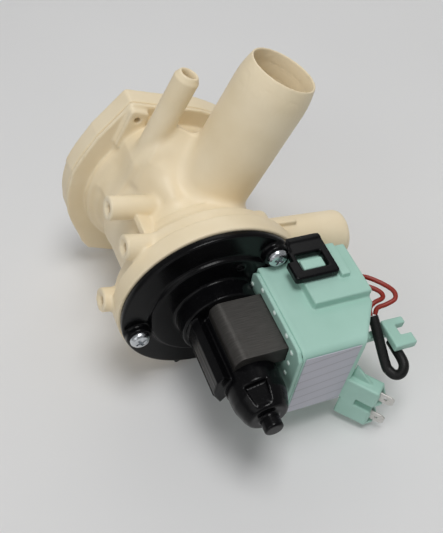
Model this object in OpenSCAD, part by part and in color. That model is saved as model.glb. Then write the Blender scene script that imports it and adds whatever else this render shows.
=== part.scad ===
// Washer drain pump: filter housing, pump cover, synchronous motor and lint filter.
// The pump axis lies along Y: +Y runs out of the filter mouth, -Y to the motor's end.
// The origin is on the pump axis, in the plane of the shield's front rim.
// Inside the modules y counts from the outer face of the pump cover.

/* [Attitude] */
// Roll of the motor about the pump axis, coil side down, degrees
motor_roll = 8.2; // [0:0.1:20]
// Lean of the inlet pipe from the motor's top towards the coil, degrees
inlet_lean = 21.9; // [10:0.1:40]

/* [Cover and flange] */
// Radius of the black pump cover
cover_r = 45; // [43:0.5:60]
// Thickness of the pump cover's disc
cover_t = 3; // [2:0.1:5]
// Radius of the housing's flange behind the cover
flange_r = 46; // [44:0.5:62]
// Thickness of the housing's flange
flange_t = 9; // [7:0.1:14]
// Radius of the raised pad in the middle of the cover
pad_r = 32; // [26:0.5:34]
// Height of the raised pad
pad_h = 3; // [1:0.1:5]
// Radius of the hub between the pad and the rotor can
hub_r = 20; // [16:0.5:24]
// Radius from the pump axis to the cover screws
screw_place_r = 38.5; // [38.2:0.1:39.6]
// Angle of the cover screw beside the latch, from the coil side, degrees
upper_screw_angle = 49.5; // [48:0.5:54]
// Angle of the cover screw on the far side from the coil, degrees
side_screw_angle = 194; // [185:0.5:210]
// Angle of the cover screw under the coil, degrees
under_screw_angle = 302; // [296:0.5:310]
// Height of the boss under each screw head
screw_boss_h = 4.2; // [3:0.1:5]

/* [Filter housing] */
// Radius of the pump chamber inside the flange
chamber_r = 32; // [28:0.5:32.5]
// Depth of the pump chamber from the cover's inner face
chamber_depth = 20; // [18:0.5:26]
// Thickness of the wall between the pump chamber and the filter chamber
divider_t = 3.5; // [2:0.1:6]
// Radius of the suction eye in that wall
eye_r = 14; // [10:0.5:18]
// Outer radius of the volute where it leaves the flange
volute_r = 43; // [40:0.5:45]
// Length of the volute's round shoulder down to the body
shoulder_len = 21; // [16:0.5:26]
// Outer radius of the filter chamber
body_r = 35; // [33:0.5:40]
// Wall of the filter chamber
body_wall = 3; // [2:0.1:4]
// Distance from the volute's shoulder to the shield's plate
body_len = 47; // [44:0.5:60]

/* [Pipes] */
// Outer radius of the inlet pipe
inlet_r = 17.8; // [16:0.1:20]
// Outer radius of the inlet pipe's lip
inlet_lip_r = 15.8; // [15:0.1:17.8]
// Length of the lead-in at the inlet pipe's lip
inlet_lead = 8; // [4:0.5:12]
// Radius of the inlet pipe's bore
inlet_bore_r = 13.6; // [11:0.1:14.5]
// Height of the inlet pipe's mouth over the pump axis
inlet_len = 99.6; // [80:0.5:120]
// Height of the hose stops on the inlet pipe and the vent stub over the pump axis
hose_stop_h = 52; // [48:0.5:60]
// Distance of the inlet pipe from the shoulder of the volute
inlet_step = 13.6; // [12:0.1:20]
// Sideways offset of the inlet pipe from the pump axis
inlet_offset = 1.6; // [0:0.1:4]
// Outer radius of the outlet pipe
outlet_r = 12; // [10.5:0.1:12.5]
// Radius of the outlet pipe's bore
outlet_bore_r = 9.4; // [7:0.1:9.5]
// Reach of the outlet pipe from the pump axis
outlet_len = 70; // [62:0.5:90]
// Distance of the hose stop on the outlet pipe from the pump axis
outlet_stop = 49; // [48:0.5:56]
// Offset of the outlet pipe from the pump axis
outlet_offset = 17.4; // [14:0.1:20]
// Rise of the outlet pipe from square to the inlet pipe, degrees
outlet_rise = 17; // [10:0.5:24]
// Outer radius of the vent stub
stub_r = 6; // [5:0.1:7]
// Radius of the vent stub's bore
stub_bore_r = 3.2; // [2:0.1:4]
// Height of the vent stub's tip over the pump axis
stub_len = 77; // [60:0.5:95]
// Sideways offset of the vent stub from the pump axis
stub_offset = 28; // [26:0.1:28.5]
// Distance of the vent stub's axis from the shield's plate
stub_step = 15; // [12:0.5:18]

/* [Shield] */
// Radius of the shield's round sides
shield_r = 49; // [47:0.5:58]
// Height of the shield's upper corners over the pump axis
shield_top = 46; // [44:0.5:56]
// Width of the shield between its upper corners
shield_top_w = 75.5; // [60:0.5:80]
// Rise of the shield's top edge from its corners to its middle
shield_crown = 3; // [0:0.5:5]
// Depth of the shield's lower edge under the pump axis
shield_bottom = 49.5; // [47:0.5:52]
// Thickness of the shield's plate
plate_t = 3; // [2:0.1:4]
// Depth of the shield's skirt in front of the plate
skirt_depth = 10; // [9:0.5:20]
// Wall of the shield's skirt
skirt_t = 2.5; // [1.5:0.1:4]
// Radius of the round step between body and plate
step_r = 40.5; // [38:0.5:44]
// Length of that step
step_len = 4; // [2:0.5:8]
// Distance between the two panel screw holes
panel_hole_span = 66; // [60:0.5:72]
// Height of the panel screw holes over the pump axis
panel_hole_h = 40; // [36:0.5:40.5]
// Radius of the panel screw holes
panel_hole_r = 1.5; // [1.2:0.1:2.6]

/* [Side bosses] */
// Outer radius of a side boss
boss_r = 5.7; // [4.5:0.1:6.5]
// Rise of the side bosses towards the body, degrees
boss_rise = 10; // [0:1:15]
// Radius of the hole in a side boss
boss_hole_r = 2; // [1.5:0.1:2.6]
// Depth of the hole in a side boss
boss_hole_depth = 16; // [8:0.5:18]
// Reach of the two upper bosses from the pump axis
boss_reach = 49; // [47:0.5:56]
// Height of the two upper bosses over the pump axis
boss_h = 14; // [10:0.5:18]
// Distance between the two upper bosses
boss_pitch = 24.5; // [20:0.5:28]
// Reach of the lower boss from the pump axis
low_boss_reach = 47; // [46:0.5:54]
// Drop of the lower boss under the pump axis
low_boss_drop = 18.5; // [14:0.5:22]

/* [Stator core] */
// Height of the stator core over both poles
core_h = 33.7; // [32:0.1:38]
// Height of one leg of the core
leg_h = 9.6; // [8:0.1:11]
// Thickness of the lamination stack
stack_t = 30.7; // [24:0.1:34]
// Reach of the pole tips past the pump axis, away from the coil
pole_reach = 9.1; // [6:0.1:10]
// Distance from the pump axis to the inner edge of the yoke
yoke_x = 44.4; // [44.2:0.1:45]
// Width of the yoke
yoke_w = 9.3; // [8:0.1:9.4]
// Distance from the cover's face to the middle of the stack
stack_mid = 28.4; // [28:0.1:32]

/* [Coil] */
// Distance from the pump axis to the bobbin's face
bobbin_x = 15; // [14.5:0.1:16]
// Thickness of the bobbin's face plate and rear flanges
bobbin_t = 2; // [1.5:0.1:2.5]
// Wall of the bobbin's spools
spool_wall = 1; // [0.6:0.1:1.2]
// Length of one winding
winding_len = 25; // [18:0.5:25.5]
// Depth of one winding on its spool
winding_build = 2.6; // [1.5:0.1:2.6]
// Length of the coil case behind the bobbin's face plate
case_len = 43.5; // [43:0.1:48]
// Depth of the coil case along the pump axis
case_depth = 50.6; // [46:0.1:51]
// Height of the coil case
case_h = 45.7; // [44.6:0.1:46]
// Length of the coil case's slanted corner along each side
case_cut = 13; // [8:0.1:13.4]
// Wall of the coil case
case_wall = 1.8; // [1.4:0.1:1.9]
// Height of the raised block on the coil case
block_h = 4.4; // [3:0.1:6]
// Length of the raised block along the pump axis
block_depth = 28.8; // [24:0.1:32]
// Start of the latch from the pump axis
latch_x = 27; // [25:0.1:29]
// Start of the raised block behind the latch's near edge
block_setback = 4.6; // [2:0.1:6]
// Thickness of the label
label_t = 0.3; // [0.2:0.1:0.6]
// Width of the label
label_w = 27; // [20:0.5:27.5]
// Height of the label
label_h = 43; // [30:0.5:44]

/* [Latch] */
// Width of the latch arm
latch_w = 22; // [16:0.5:24]
// Thickness of the latch arm
latch_t = 3.9; // [2.5:0.1:5]
// Reach of the latch arm from the cover's face
latch_reach = 20.5; // [16:0.5:24]
// Width of the latch arm's window
window_w = 13; // [10:0.5:14]
// Length of the latch arm's window
window_len = 9; // [7:0.5:10]

/* [Terminals] */
// Width of a spade blade
blade_w = 6.3; // [4.8:0.1:6.3]
// Thickness of a spade blade
blade_t = 0.8; // [0.5:0.1:0.8]
// Free length of a spade blade in front of its shroud
blade_free = 6.5; // [4:0.1:9]
// Length of a spade blade inside its shroud
blade_in = 10; // [8:0.1:11]
// Radius of the hole near a blade's tip
blade_hole_r = 0.8; // [0.5:0.1:1]
// Distance between the two blades
blade_pitch = 16; // [14:0.5:18]
// Length of a terminal shroud
shroud_len = 13.5; // [12:0.1:16]
// Width of a terminal shroud across the blade's flat
shroud_w = 8; // [7:0.1:9]
// Height of a terminal shroud along the blade's width
shroud_h = 11.5; // [10.5:0.1:13]
// Wall of a terminal shroud
shroud_wall = 1.5; // [1:0.1:2]
// Swing of the terminals from the coil's end towards the motor's end, degrees
terminal_swing = 49; // [40:1:55]

/* [Rotor] */
// Outer radius of the rotor can
can_r = 12.4; // [11.5:0.1:12.6]
// Wall of the rotor can
can_wall = 1.4; // [1:0.1:1.8]
// Distance from the cover's face to the end of the rotor can
can_end = 60; // [56:0.5:66]
// Distance from the cover's face to the taper of the rotor can
can_shoulder = 51.5; // [51:0.1:54]
// Radius of the rotor can's end
can_end_r = 8.5; // [7:0.1:10]
// Length of the nub on the rotor can's end
nub_len = 10.6; // [6:0.1:14]
// Radius of that nub
nub_r = 4.3; // [3.5:0.1:6]
// Radius of the rotor magnet
magnet_r = 9.8; // [8:0.1:10]
// Radius of the rotor hub inside the magnet
rotor_hub_r = 5; // [4:0.1:6]
// Radius of the rotor shaft
shaft_r = 2; // [1.5:0.1:2.5]
// Outer radius of the bearings
bearing_r = 4.8; // [4:0.1:5.5]
// Length of the bearings
bearing_len = 6.5; // [5:0.1:8]
// Thickness of a thrust washer
washer_t = 1; // [0.5:0.1:1.5]

/* [Impeller] */
// Radius of the impeller over its vanes
impeller_r = 25; // [20:0.5:26]
// Radius of the impeller's hub
impeller_hub_r = 11; // [10:0.5:13]
// Length of the impeller along the pump axis
impeller_len = 13; // [12:0.5:14]
// Number of vanes
vane_count = 6; // [4:1:8]
// Thickness of a vane
vane_t = 2; // [1.2:0.1:3]
// Radius of the driving dog's claw
claw_r = 8.4; // [7:0.1:8.6]
// Radius of the driving dog's sleeve
dog_r = 4; // [3.2:0.1:5]

/* [Filter] */
// Length of the collar round the filter mouth in front of the plate
collar_len = 2; // [1:0.5:3]
// Thickness of the filter plug's rim
plug_rim_t = 2.2; // [1.5:0.1:3]
// Depth of the plug inside the filter chamber
plug_depth = 14; // [12:0.5:16]
// Radius of the filter seal's section
seal_section_r = 1.6; // [1.2:0.1:2]
// Length of the filter cage behind the plug
cage_len = 34; // [20:0.5:36]
// Radius of a cage bar
cage_bar_r = 1.8; // [1.2:0.1:2.4]
// Number of cage bars
cage_bar_count = 8; // [5:1:12]
// Length of the filter handle
handle_len = 46; // [30:0.5:54]
// Thickness of the filter handle
handle_t = 7; // [4:0.5:10]

/* [Fasteners and leads] */
// Radius of a cover screw's head
screw_head_r = 4.8; // [4:0.1:5]
// Height of a cover screw's head
screw_head_h = 2.8; // [2:0.1:4]
// Radius of a cover screw's shank
screw_r = 2; // [1.5:0.1:2.2]
// Length of a cover screw's shank
screw_len = 16; // [12:0.5:18]
// Radius of a red lead
lead_r = 1.1; // [0.8:0.1:1.2]
// Radius of the black sleeve over the thermal fuse
sleeve_r = 2.4; // [2:0.1:2.6]
// Radius of the thermal fuse
fuse_r = 1.5; // [1:0.1:1.6]
// Length of the thermal fuse
fuse_len = 12; // [8:0.5:14]

/* [Clearances] */
// Clearance of turning pieces on their shafts
run_clear = 0.05; // [0.02:0.01:0.1]
// Clearance of pieces that slide together on assembly
seat_clear = 0.2; // [0.1:0.05:0.3]
// Clearance round pieces that turn or travel free
free_clear = 0.4; // [0.3:0.05:0.6]

/* [Hidden] */
$fn = 96;

cream = "#e8dcc0";
mint = "#a8d5c2";
black = "#17181a";
zinc = "#c9ccd0";
steel = "#9da1a6";
ferrite = "#3b3b3f";
core_grey = "#56565a";
copper = "#b5652b";
red = "#a33323";
rubber = "#2a2b2d";
brass = "#b89a55";
label_grey = "#c9c8d2";
white = "#e6e6e2";
grey = "#8d8f93";

housing_roll = motor_roll + inlet_lean;

// Places along the pump axis
flange_y = cover_t + flange_t;
shoulder_y = flange_y + shoulder_len;
plate_y = shoulder_y + body_len;
front_y = plate_y + plate_t + skirt_depth;
chamber_y = cover_t + chamber_depth;
divider_y = chamber_y + divider_t;
collar_y = plate_y + plate_t + collar_len;
inlet_y = shoulder_y + inlet_step;
stub_y = plate_y - stub_step;
bore_r = body_r - body_wall;
eps = 0.01;

// Hose stops, where a pipe grows thicker by a short slope
stop_step = 0.4;
stop_lead = 1;

// Outlet pipe behind the cover, and its throat from the pump chamber
outlet_y = cover_t + outlet_r + 1.5 * stop_step;
throat_len = 31;
throat_draft = 1.8;

// Lead-in at the outlet pipe's mouth
outlet_lead = 2;
outlet_taper = 0.8;

// Share of the shoulder before the volute draws in to the body
shoulder_knee = 0.35;

// Shield's slanted upper corners, and its lower corners in parts of shield_bottom
slant_w = 8;
slant_h = 21;
toe = [[-0.83, -0.5], [-0.53, -0.92], [-0.43, -1], [0, -1], [0, -0.5]];

// Side bosses, which run on inside the body as far as its hollow
low_boss_y = flange_y + 3;
boss_sink = 0.5;
boss_y = [flange_y + boss_r - boss_sink, flange_y + boss_r - boss_sink + boss_pitch];
boss_clear_axis = 8;
boss_len = boss_reach - boss_clear_axis;
low_hole_depth = boss_hole_depth / 2;

// Vent stub's tip, the fin from it to the inlet pipe, and the cheek of the body under it
stub_taper = 1.5;
stub_lead = 3;
fin_t = 2.4;
cheek_r = 12;
cheek_x = 22;
cheek_h = 27;
cheek_y = 38;
cheek_rise = 22;
cheek_step = 0.4;

// Pads round the panel screw holes
panel_wall = 3.2;
pad_half = panel_hole_r + panel_wall;
pad_drop = 17;

// Web between the upper bosses and rib on the outlet pipe
web_setback = 12;
web_t = 3;
rib_t = 2;
rib_h = 2.5;
rib_start = 27;
rib_len = 15;

// Cover screws, their cross recess and their bosses
screw_boss_r = screw_head_r + 1.2;
screw_wall = 3;
screw_floor = 2;
screw_tip_room = 0.5;
recess_w = 1.2;
recess_len = 4.8;
recess_depth = 1.6;

// Cover seal
seal_r = 1;
seal_groove_r = chamber_r + 2.2;
seal_groove_depth = 2.2 * seal_r;
seal_groove_half = 1.2 * seal_r;
spigot_r = chamber_r - seat_clear;
spigot_len = 4;
spigot_t = 3;

// Cradle beside the rotor can and key on the cover's rim
cradle_r = hub_r - 2.5;
cradle_middle = 182;
cradle_span = 68;
cradle_over = 2;
key_angle = 252;
key_r = 3;

// Stator core
stack_y0 = -stack_mid - stack_t / 2;
stack_y1 = -stack_mid + stack_t / 2;
core_bore_r = can_r + seat_clear;
leg_z = core_h / 2 - leg_h;
pole_round_r = 5;

// Bobbin and windings
spool_x = bobbin_x + bobbin_t;
rear_flange_x = spool_x + winding_len;
spool_in = seat_clear;
spool_out = seat_clear + spool_wall;
winding_out = spool_out + winding_build;
winding_gap = 0.05;
winding_slack = 0.3;

// Coil case
case_x1 = spool_x + case_len;
case_y0 = -stack_mid - case_depth / 2;
case_y1 = -stack_mid + case_depth / 2;
case_top = case_h / 2;
// Height of the rear flanges under the case's roof, and of the windings, which fill the same share of
// the spool above it as at its sides
flange_top = case_top - case_wall - free_clear;
spool_top = core_h / 2 + spool_out;
winding_top = spool_top + (flange_top - spool_top) * (1 - winding_slack / winding_build);
block_top = case_top + block_h;
block_y0 = case_y1 - block_depth;
label_z = -case_h / 2 + 0.7;
label_x = spool_x + 1;

// Latch
latch_z = block_top + free_clear;
latch_top = latch_z + latch_t;
window_bar = 4.5;
window_y = -latch_reach + window_bar;
window_x = latch_x + (latch_w - window_w) / 2 + 0.6;
hook_side = 1;
hook_len = window_len - 3.4;
hook_drop = 0.6;
guide_x = latch_x + latch_w + free_clear;
guide_t = 4.6;
guide_h = 2.6;
guide_step = 10;

// Terminals
terminal_x = 51;
terminal_y = case_y0;
upper_blade_z = -13;
terminal_z = [upper_blade_z - blade_pitch, upper_blade_z];
blade_tip = shroud_len + blade_free;
shroud_root = 3.2;
shroud_floor = 4;
slot_t = blade_t + 2 * run_clear;
slot_w = blade_w + 2 * run_clear;
blade_hole_step = 4;
blade_nose = [1.6, 1.3];
block_low = terminal_z[0] - shroud_h / 2;

// Rotor
can_bore_r = can_r - can_wall;
rear_bearing_y = -can_end + 3;
can_floor_y = rear_bearing_y + bearing_len;
rear_washer_y = rear_bearing_y + bearing_len + run_clear;
hub_y0 = rear_washer_y + washer_t + run_clear;
front_bearing_y = -bearing_len - 0.5;
front_washer_y = front_bearing_y - washer_t - run_clear;
hub_y1 = front_washer_y - run_clear;
washer_r = rotor_hub_r - 0.5;
carrier_front_y = cover_t;
carrier_back_y = front_bearing_y;
carrier_seal_r = 0.9;
carrier_seal_y = (carrier_front_y + carrier_back_y) / 2;

// Impeller and its driving dog
dog_y = carrier_front_y + free_clear;
impeller_y0 = dog_y + 1.2;
impeller_y1 = impeller_y0 + impeller_len;
back_plate_t = 1.6;
vane_drop = 0.6;
cap_t = 0.8;
cavity_r = claw_r + free_clear;
cap_r = cavity_r + 0.6;
back_plate_r = impeller_r - 1.5;
nose_t = 5;
cavity_y1 = impeller_y1 - nose_t;
claw_y0 = impeller_y0 + cap_t + free_clear;
claw_y1 = cavity_y1 - free_clear;
claw_span = 60;
stop_span = 100;
shaft_y0 = rear_bearing_y + 0.5;
shaft_y1 = impeller_y1 - 1;

// Filter
plug_r = bore_r - free_clear;
plug_y0 = collar_y - plug_depth;
plug_y1 = collar_y + free_clear;
handle_y1 = front_y - 0.5;
seal_step = 5;
seal_y = plug_y0 + seal_step;
cage_gap = 8;
cage_r = bore_r - cage_gap;
cage_ring_t = 3;
cage_ring_half = 2.5;
plug_hollow_r = cage_r - cage_bar_r - 1;
plug_floor = 2;
plug_rim_r = body_r - 0.5;

// Leads, by hand, in the motor's frame
lead_long_route = [[60.5, -17, 19], [62.6, -17.4, 19.2], [66.5, -20.5, 20.3], [71.5, -26, 20.5],
                   [75, -30.4, 19.4], [74.6, -33.4, 17.6], [70.5, -34, 15.8], [66.4, -33.6, 13.8],
                   [64.7, -35.4, 11.8]];
lead_short_route = [[60.5, -22, 18], [62.6, -22.4, 18.2], [66, -25.4, 19], [69.2, -29, 18.6],
                    [69.4, -31, 17], [66, -31, 15], [63, -32.4, 13.6], [62.2, -35.4, 11.8]];
sleeve_route = [[63.4, -36, 11.4], [63.4, -40, 9], [63.4, -54.5, -0.2], [64, -58, -1.6],
                [65.6, -60.8, -1.6], [67.8, -61.6, 0], [69.4, -60, 2], [70, -57, 3],
                [70, -52, 3.2], [70, -46, 3.2]];
sweep_sides = 8;
fuse_start = 2;

// Wire clip on the coil's end
clip_x = 66.4;
clip_w = 11.2;
clip_y0 = -53.8;
clip_y1 = -38.6;
clip_z0 = 6.2;
clip_z1 = 10.4;
clip_foot_z = 0;
clip_foot_h = 4;
clip_arm = 3.8;
clip_web = 5.6;
clip_notch = 5.6;

// Puts the motor's pieces at the motor's roll
module in_motor() {
    translate([0, -front_y, 0]) rotate([0, motor_roll, 0]) children();
}

// Puts the housing's pieces at the housing's roll
module in_housing() {
    translate([0, -front_y, 0]) rotate([0, housing_roll, 0]) children();
}

// Turns a piece that stands on z so that it runs along the pump axis from y0
module along_axis(y0) {
    translate([0, y0, 0]) rotate([-90, 0, 0]) children();
}

// Round bar on the pump axis
module rod(y0, y1, r) {
    along_axis(y0) cylinder(h = y1 - y0, r = r);
}

// Ring on the pump axis
module tube(y0, y1, r, bore) {
    difference() {
        rod(y0, y1, r);
        rod(y0 - 1, y1 + 1, bore);
    }
}

// Outline in x and z, drawn out along the pump axis
module prism(y0, y1) {
    translate([0, y1, 0]) rotate([90, 0, 0]) linear_extrude(y1 - y0) children();
}

// Box between two corners
module block(low, high) {
    translate(low) cube(high - low);
}

// Sector of a disc between two angles, under half a turn
module sector(r, middle, span) {
    far = 2 * r;
    intersection() {
        circle(r = r);
        polygon([[0, 0], [far * cos(middle - span / 2), far * sin(middle - span / 2)],
                 [far * cos(middle), far * sin(middle)],
                 [far * cos(middle + span / 2), far * sin(middle + span / 2)]]);
    }
}

// Places a piece at a radius and angle round the pump axis
module round_axis(r, angle) {
    translate([r * cos(angle), 0, r * sin(angle)]) children();
}

// Unit vector of a list
function unit(v) = v / norm(v);

// Direction of a route at one of its points
function heading(p, i) = unit(p[min(i + 1, len(p) - 1)] - p[max(i - 1, 0)]);

// Sideways vector of a route's ring, kept near the pump axis' upright
function aside(t) = unit(cross(t, [0.6, 0.1, -0.8]));

// Tube along a route, one ring of points at each place
module sweep(route, r) {
    n = sweep_sides;
    rings = [for (i = [0 : len(route) - 1])
        let (t = heading(route, i), u = aside(t), v = cross(t, u))
        for (k = [0 : n - 1])
            route[i] + r * (u * cos(360 * k / n) + v * sin(360 * k / n))];
    last = (len(route) - 1) * n;
    sides = [for (i = [0 : len(route) - 2]) for (k = [0 : n - 1]) for (half = [0, 1])
        let (a = i * n + k, b = i * n + (k + 1) % n)
        half == 0 ? [a, a + n, b] : [b, a + n, b + n]];
    first_end = [for (k = [1 : n - 2]) [0, k, k + 1]];
    last_end = [for (k = [1 : n - 2]) [last, last + k + 1, last + k]];
    polyhedron(points = rings, faces = concat(sides, first_end, last_end), convexity = 6);
}

// Outline of the shield, drawn in by an inset
module shield_outline(inset) {
    top = shield_top - inset;
    half = shield_top_w / 2 - inset;
    low = shield_bottom - inset;
    intersection() {
        union() {
            circle(r = shield_r - inset);
            polygon([[-half, top], [0, top + shield_crown], [half, top], [half + slant_w, top - slant_h],
                     [shield_r - inset, 0], [-shield_r + inset, 0],
                     [-half - slant_w, top - slant_h]]);
            polygon(low * toe);
        }
        rotate(housing_roll) translate([-2 * shield_r, -flange_r + inset])
            square([4 * shield_r, 4 * shield_r]);
    }
}

// Outer surface of flange, volute, body and step, turned about the pump axis
module housing_turning() {
    along_axis(0) rotate_extrude()
        polygon([[0, cover_t], [flange_r, cover_t], [flange_r, flange_y], [volute_r, flange_y],
                 [volute_r - 1, flange_y + shoulder_knee * shoulder_len], [body_r, shoulder_y],
                 [body_r, plate_y - step_len], [step_r, plate_y - step_len],
                 [step_r, plate_y + eps], [body_r, plate_y + eps], [body_r, collar_y],
                 [0, collar_y]]);
}

// Pipe along z with a lead-in at its tip
module pipe(len, r, tip_r, lead) {
    cylinder(h = len - lead, r = r);
    translate([0, 0, len - lead]) cylinder(h = lead, r1 = r, r2 = tip_r);
}

// Fuller side of the body under the vent stub
module vent_cheek() {
    full_y = cheek_y + cheek_rise;
    translate([-cheek_x, 0, cheek_h]) {
        along_axis(cheek_y) cylinder(h = cheek_rise, r1 = cheek_step, r2 = cheek_r);
        rod(full_y, plate_y + eps, cheek_r);
    }
    prism(full_y, plate_y + eps)
        polygon([[0, 0], [-body_r + cheek_step, 0], [-cheek_x - cheek_r + cheek_step, cheek_h],
                 [-cheek_x, cheek_h + cheek_r - cheek_step], [0, body_r - cheek_step]]);
}

// Fin between the vent stub and the inlet pipe, up to the hose stops
module vent_fin() {
    run = [inlet_offset + stub_offset, inlet_y - stub_y];
    translate([-stub_offset, stub_y, 0]) rotate([0, 0, atan2(run[1], run[0])])
        translate([0, -fin_t / 2, 0]) cube([norm(run), fin_t, hose_stop_h - stop_lead]);
}

// Side boss or its hole, pointing away from the coil
module side_boss(y, z, reach, start, len, r) {
    translate([-reach, y, z]) rotate([0, 90 - boss_rise, 0])
        translate([0, 0, start]) cylinder(h = len, r = r);
}

// Places a piece along the outlet pipe, z running out of its mouth
module along_outlet() {
    rotate([0, -outlet_rise, 0]) translate([0, outlet_y, outlet_offset])
        rotate([0, 90, 0]) children();
}

// Places a piece at each cover screw, in the housing's or the motor's frame
module at_screws(turn) {
    for (angle = [upper_screw_angle, side_screw_angle, under_screw_angle])
        round_axis(screw_place_r, angle + turn) children();
}

module filter_housing() {
    color(cream) in_housing() difference() {
        union() {
            housing_turning();
            difference() {
                prism(plate_y, front_y) shield_outline(0);
                prism(plate_y + plate_t, front_y + 1) shield_outline(skirt_t);
            }
            translate([inlet_offset, inlet_y, 0]) {
                pipe(inlet_len, inlet_r, inlet_lip_r, inlet_lead);
                pipe(hose_stop_h, inlet_r + stop_step, inlet_r, stop_lead);
            }
            translate([-stub_offset, stub_y, 0]) {
                pipe(stub_len, stub_r, stub_r - stub_taper, stub_lead);
                pipe(hose_stop_h, stub_r + stop_step, stub_r, stop_lead);
            }
            vent_cheek();
            vent_fin();
            along_outlet() {
                pipe(outlet_len, outlet_r, outlet_r - outlet_taper, outlet_lead);
                pipe(outlet_stop, outlet_r + stop_step, outlet_r, stop_lead);
            }
            for (y = boss_y) side_boss(y, boss_h, boss_reach, 0, boss_len, boss_r);
            block([-boss_reach + web_setback, boss_y[0], boss_h], [0, boss_y[1], boss_h + web_t]);
            along_outlet() translate([-outlet_r - rib_h, -rib_t / 2, rib_start])
                cube([outlet_r, rib_t, rib_len]);
            side_boss(low_boss_y, -low_boss_drop, low_boss_reach, 0, boss_hole_depth, boss_r);
            at_screws(inlet_lean)
                rod(cover_t, cover_t + screw_len + screw_floor, screw_r + screw_wall);
            for (side = [-1, 1]) translate([side * panel_hole_span / 2, 0, panel_hole_h])
                block([-pad_half, plate_y - step_len, -pad_drop],
                      [pad_half, plate_y + plate_t, pad_half]);
        }
        rod(cover_t - 1, chamber_y, chamber_r);
        tube(cover_t - 1, cover_t + seal_groove_depth, seal_groove_r + seal_groove_half,
             seal_groove_r - seal_groove_half);
        rod(chamber_y - 1, divider_y + 1, eye_r);
        rod(divider_y, collar_y + 1, bore_r);
        translate([inlet_offset, inlet_y, 0]) cylinder(h = inlet_len + 1, r = inlet_bore_r);
        translate([-stub_offset, stub_y, 0]) cylinder(h = stub_len + 1, r = stub_bore_r);
        along_outlet() {
            cylinder(h = throat_len, r1 = outlet_bore_r - throat_draft, r2 = outlet_bore_r);
            translate([0, 0, throat_len]) cylinder(h = outlet_len, r = outlet_bore_r);
        }
        for (y = boss_y) side_boss(y, boss_h, boss_reach, -1, boss_hole_depth + 1, boss_hole_r);
        side_boss(low_boss_y, -low_boss_drop, low_boss_reach, -1, low_hole_depth + 1, boss_hole_r);
        at_screws(inlet_lean)
            rod(cover_t - 1, cover_t + screw_len + screw_tip_room, screw_r + run_clear);
        for (side = [-1, 1]) translate([side * panel_hole_span / 2, 0, panel_hole_h])
            rod(plate_y - step_len - 1, plate_y + plate_t + 1, panel_hole_r);
    }
}

module pump_cover() {
    color(black) in_motor() difference() {
        union() {
            rod(0, cover_t, cover_r);
            rod(-pad_h, 0, pad_r);
            difference() {
                rod(stack_y1, -pad_h, hub_r);
                block([bobbin_x - free_clear, stack_y1 - 1, -hub_r], [hub_r + 1, 1, hub_r]);
            }
            along_axis(0) rotate_extrude()
                polygon([[0, 0], [can_r, 0], [can_r, -can_shoulder], [can_end_r, -can_end],
                         [nub_r, -can_end], [nub_r, -can_end - nub_len], [0, -can_end - nub_len]]);
            at_screws(0) rod(-screw_boss_h, 0, screw_boss_r);
            tube(cover_t, cover_t + spigot_len, spigot_r, spigot_r - spigot_t);
            prism(stack_y0 - cradle_over, stack_y1) difference() {
                sector(cradle_r, cradle_middle, cradle_span);
                circle(r = can_r - 1);
            }
            prism(0, cover_t) translate([latch_x, 0]) square([latch_w, latch_top]);
            block([latch_x, -latch_reach, latch_z], [latch_x + latch_w, 0, latch_top]);
            round_axis(cover_r, key_angle) rod(0, cover_t, key_r);
        }
        block([window_x, window_y, latch_z - 1],
              [window_x + window_w, window_y + window_len, latch_top + 1]);
        rod(can_floor_y, cover_t + 1, can_bore_r);
        rod(rear_bearing_y, cover_t + 1, bearing_r + run_clear);
        at_screws(0) rod(-screw_boss_h - 1, cover_t + 1, screw_r + seat_clear);
        at_screws(0) rod(-latch_reach / 2, -screw_boss_h, screw_head_r + free_clear);
    }
}

module cover_seal() {
    color(rubber) in_motor() along_axis(cover_t + seal_r + run_clear) rotate_extrude()
        translate([seal_groove_r, 0]) circle(r = seal_r);
}

module cover_screws() {
    color(zinc) in_motor() at_screws(0) difference() {
        union() {
            rod(-screw_boss_h - screw_head_h, -screw_boss_h, screw_head_r);
            rod(-screw_boss_h, cover_t + screw_len, screw_r);
        }
        for (turn = [0, 90]) rotate([0, turn, 0])
            translate([-recess_w / 2, -screw_boss_h - screw_head_h - 1, -recess_len / 2])
                cube([recess_w, recess_depth + 1, recess_len]);
    }
}

module bearing_carrier() {
    color(grey) in_motor() difference() {
        rod(carrier_back_y, carrier_front_y, can_bore_r - run_clear);
        rod(carrier_back_y - 1, carrier_back_y + bearing_len, bearing_r + run_clear);
        rod(carrier_back_y, carrier_front_y + 1, shaft_r + free_clear);
        tube(carrier_seal_y - carrier_seal_r - run_clear, carrier_seal_y + carrier_seal_r + run_clear,
             can_bore_r + 1, can_bore_r - 2 * carrier_seal_r - 2 * run_clear);
    }
}

module carrier_seal() {
    color(rubber) in_motor() along_axis(carrier_seal_y) rotate_extrude()
        translate([can_bore_r - carrier_seal_r - run_clear, 0]) circle(r = carrier_seal_r);
}

module front_bearing() {
    color(brass) in_motor()
        tube(front_bearing_y, front_bearing_y + bearing_len, bearing_r, shaft_r + run_clear);
}

module rear_bearing() {
    color(brass) in_motor()
        tube(rear_bearing_y, rear_bearing_y + bearing_len, bearing_r, shaft_r + run_clear);
}

module thrust_washers() {
    color(white) in_motor() for (y = [rear_washer_y, front_washer_y])
        tube(y, y + washer_t, washer_r, shaft_r + run_clear);
}

module rotor_shaft() {
    color(steel) in_motor() rod(shaft_y0, shaft_y1, shaft_r);
}

module rotor_hub() {
    color(white) in_motor() tube(hub_y0, hub_y1, rotor_hub_r, shaft_r);
}

module rotor_magnet() {
    color(ferrite) in_motor() tube(stack_y0, stack_y1, magnet_r, rotor_hub_r);
}

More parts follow.
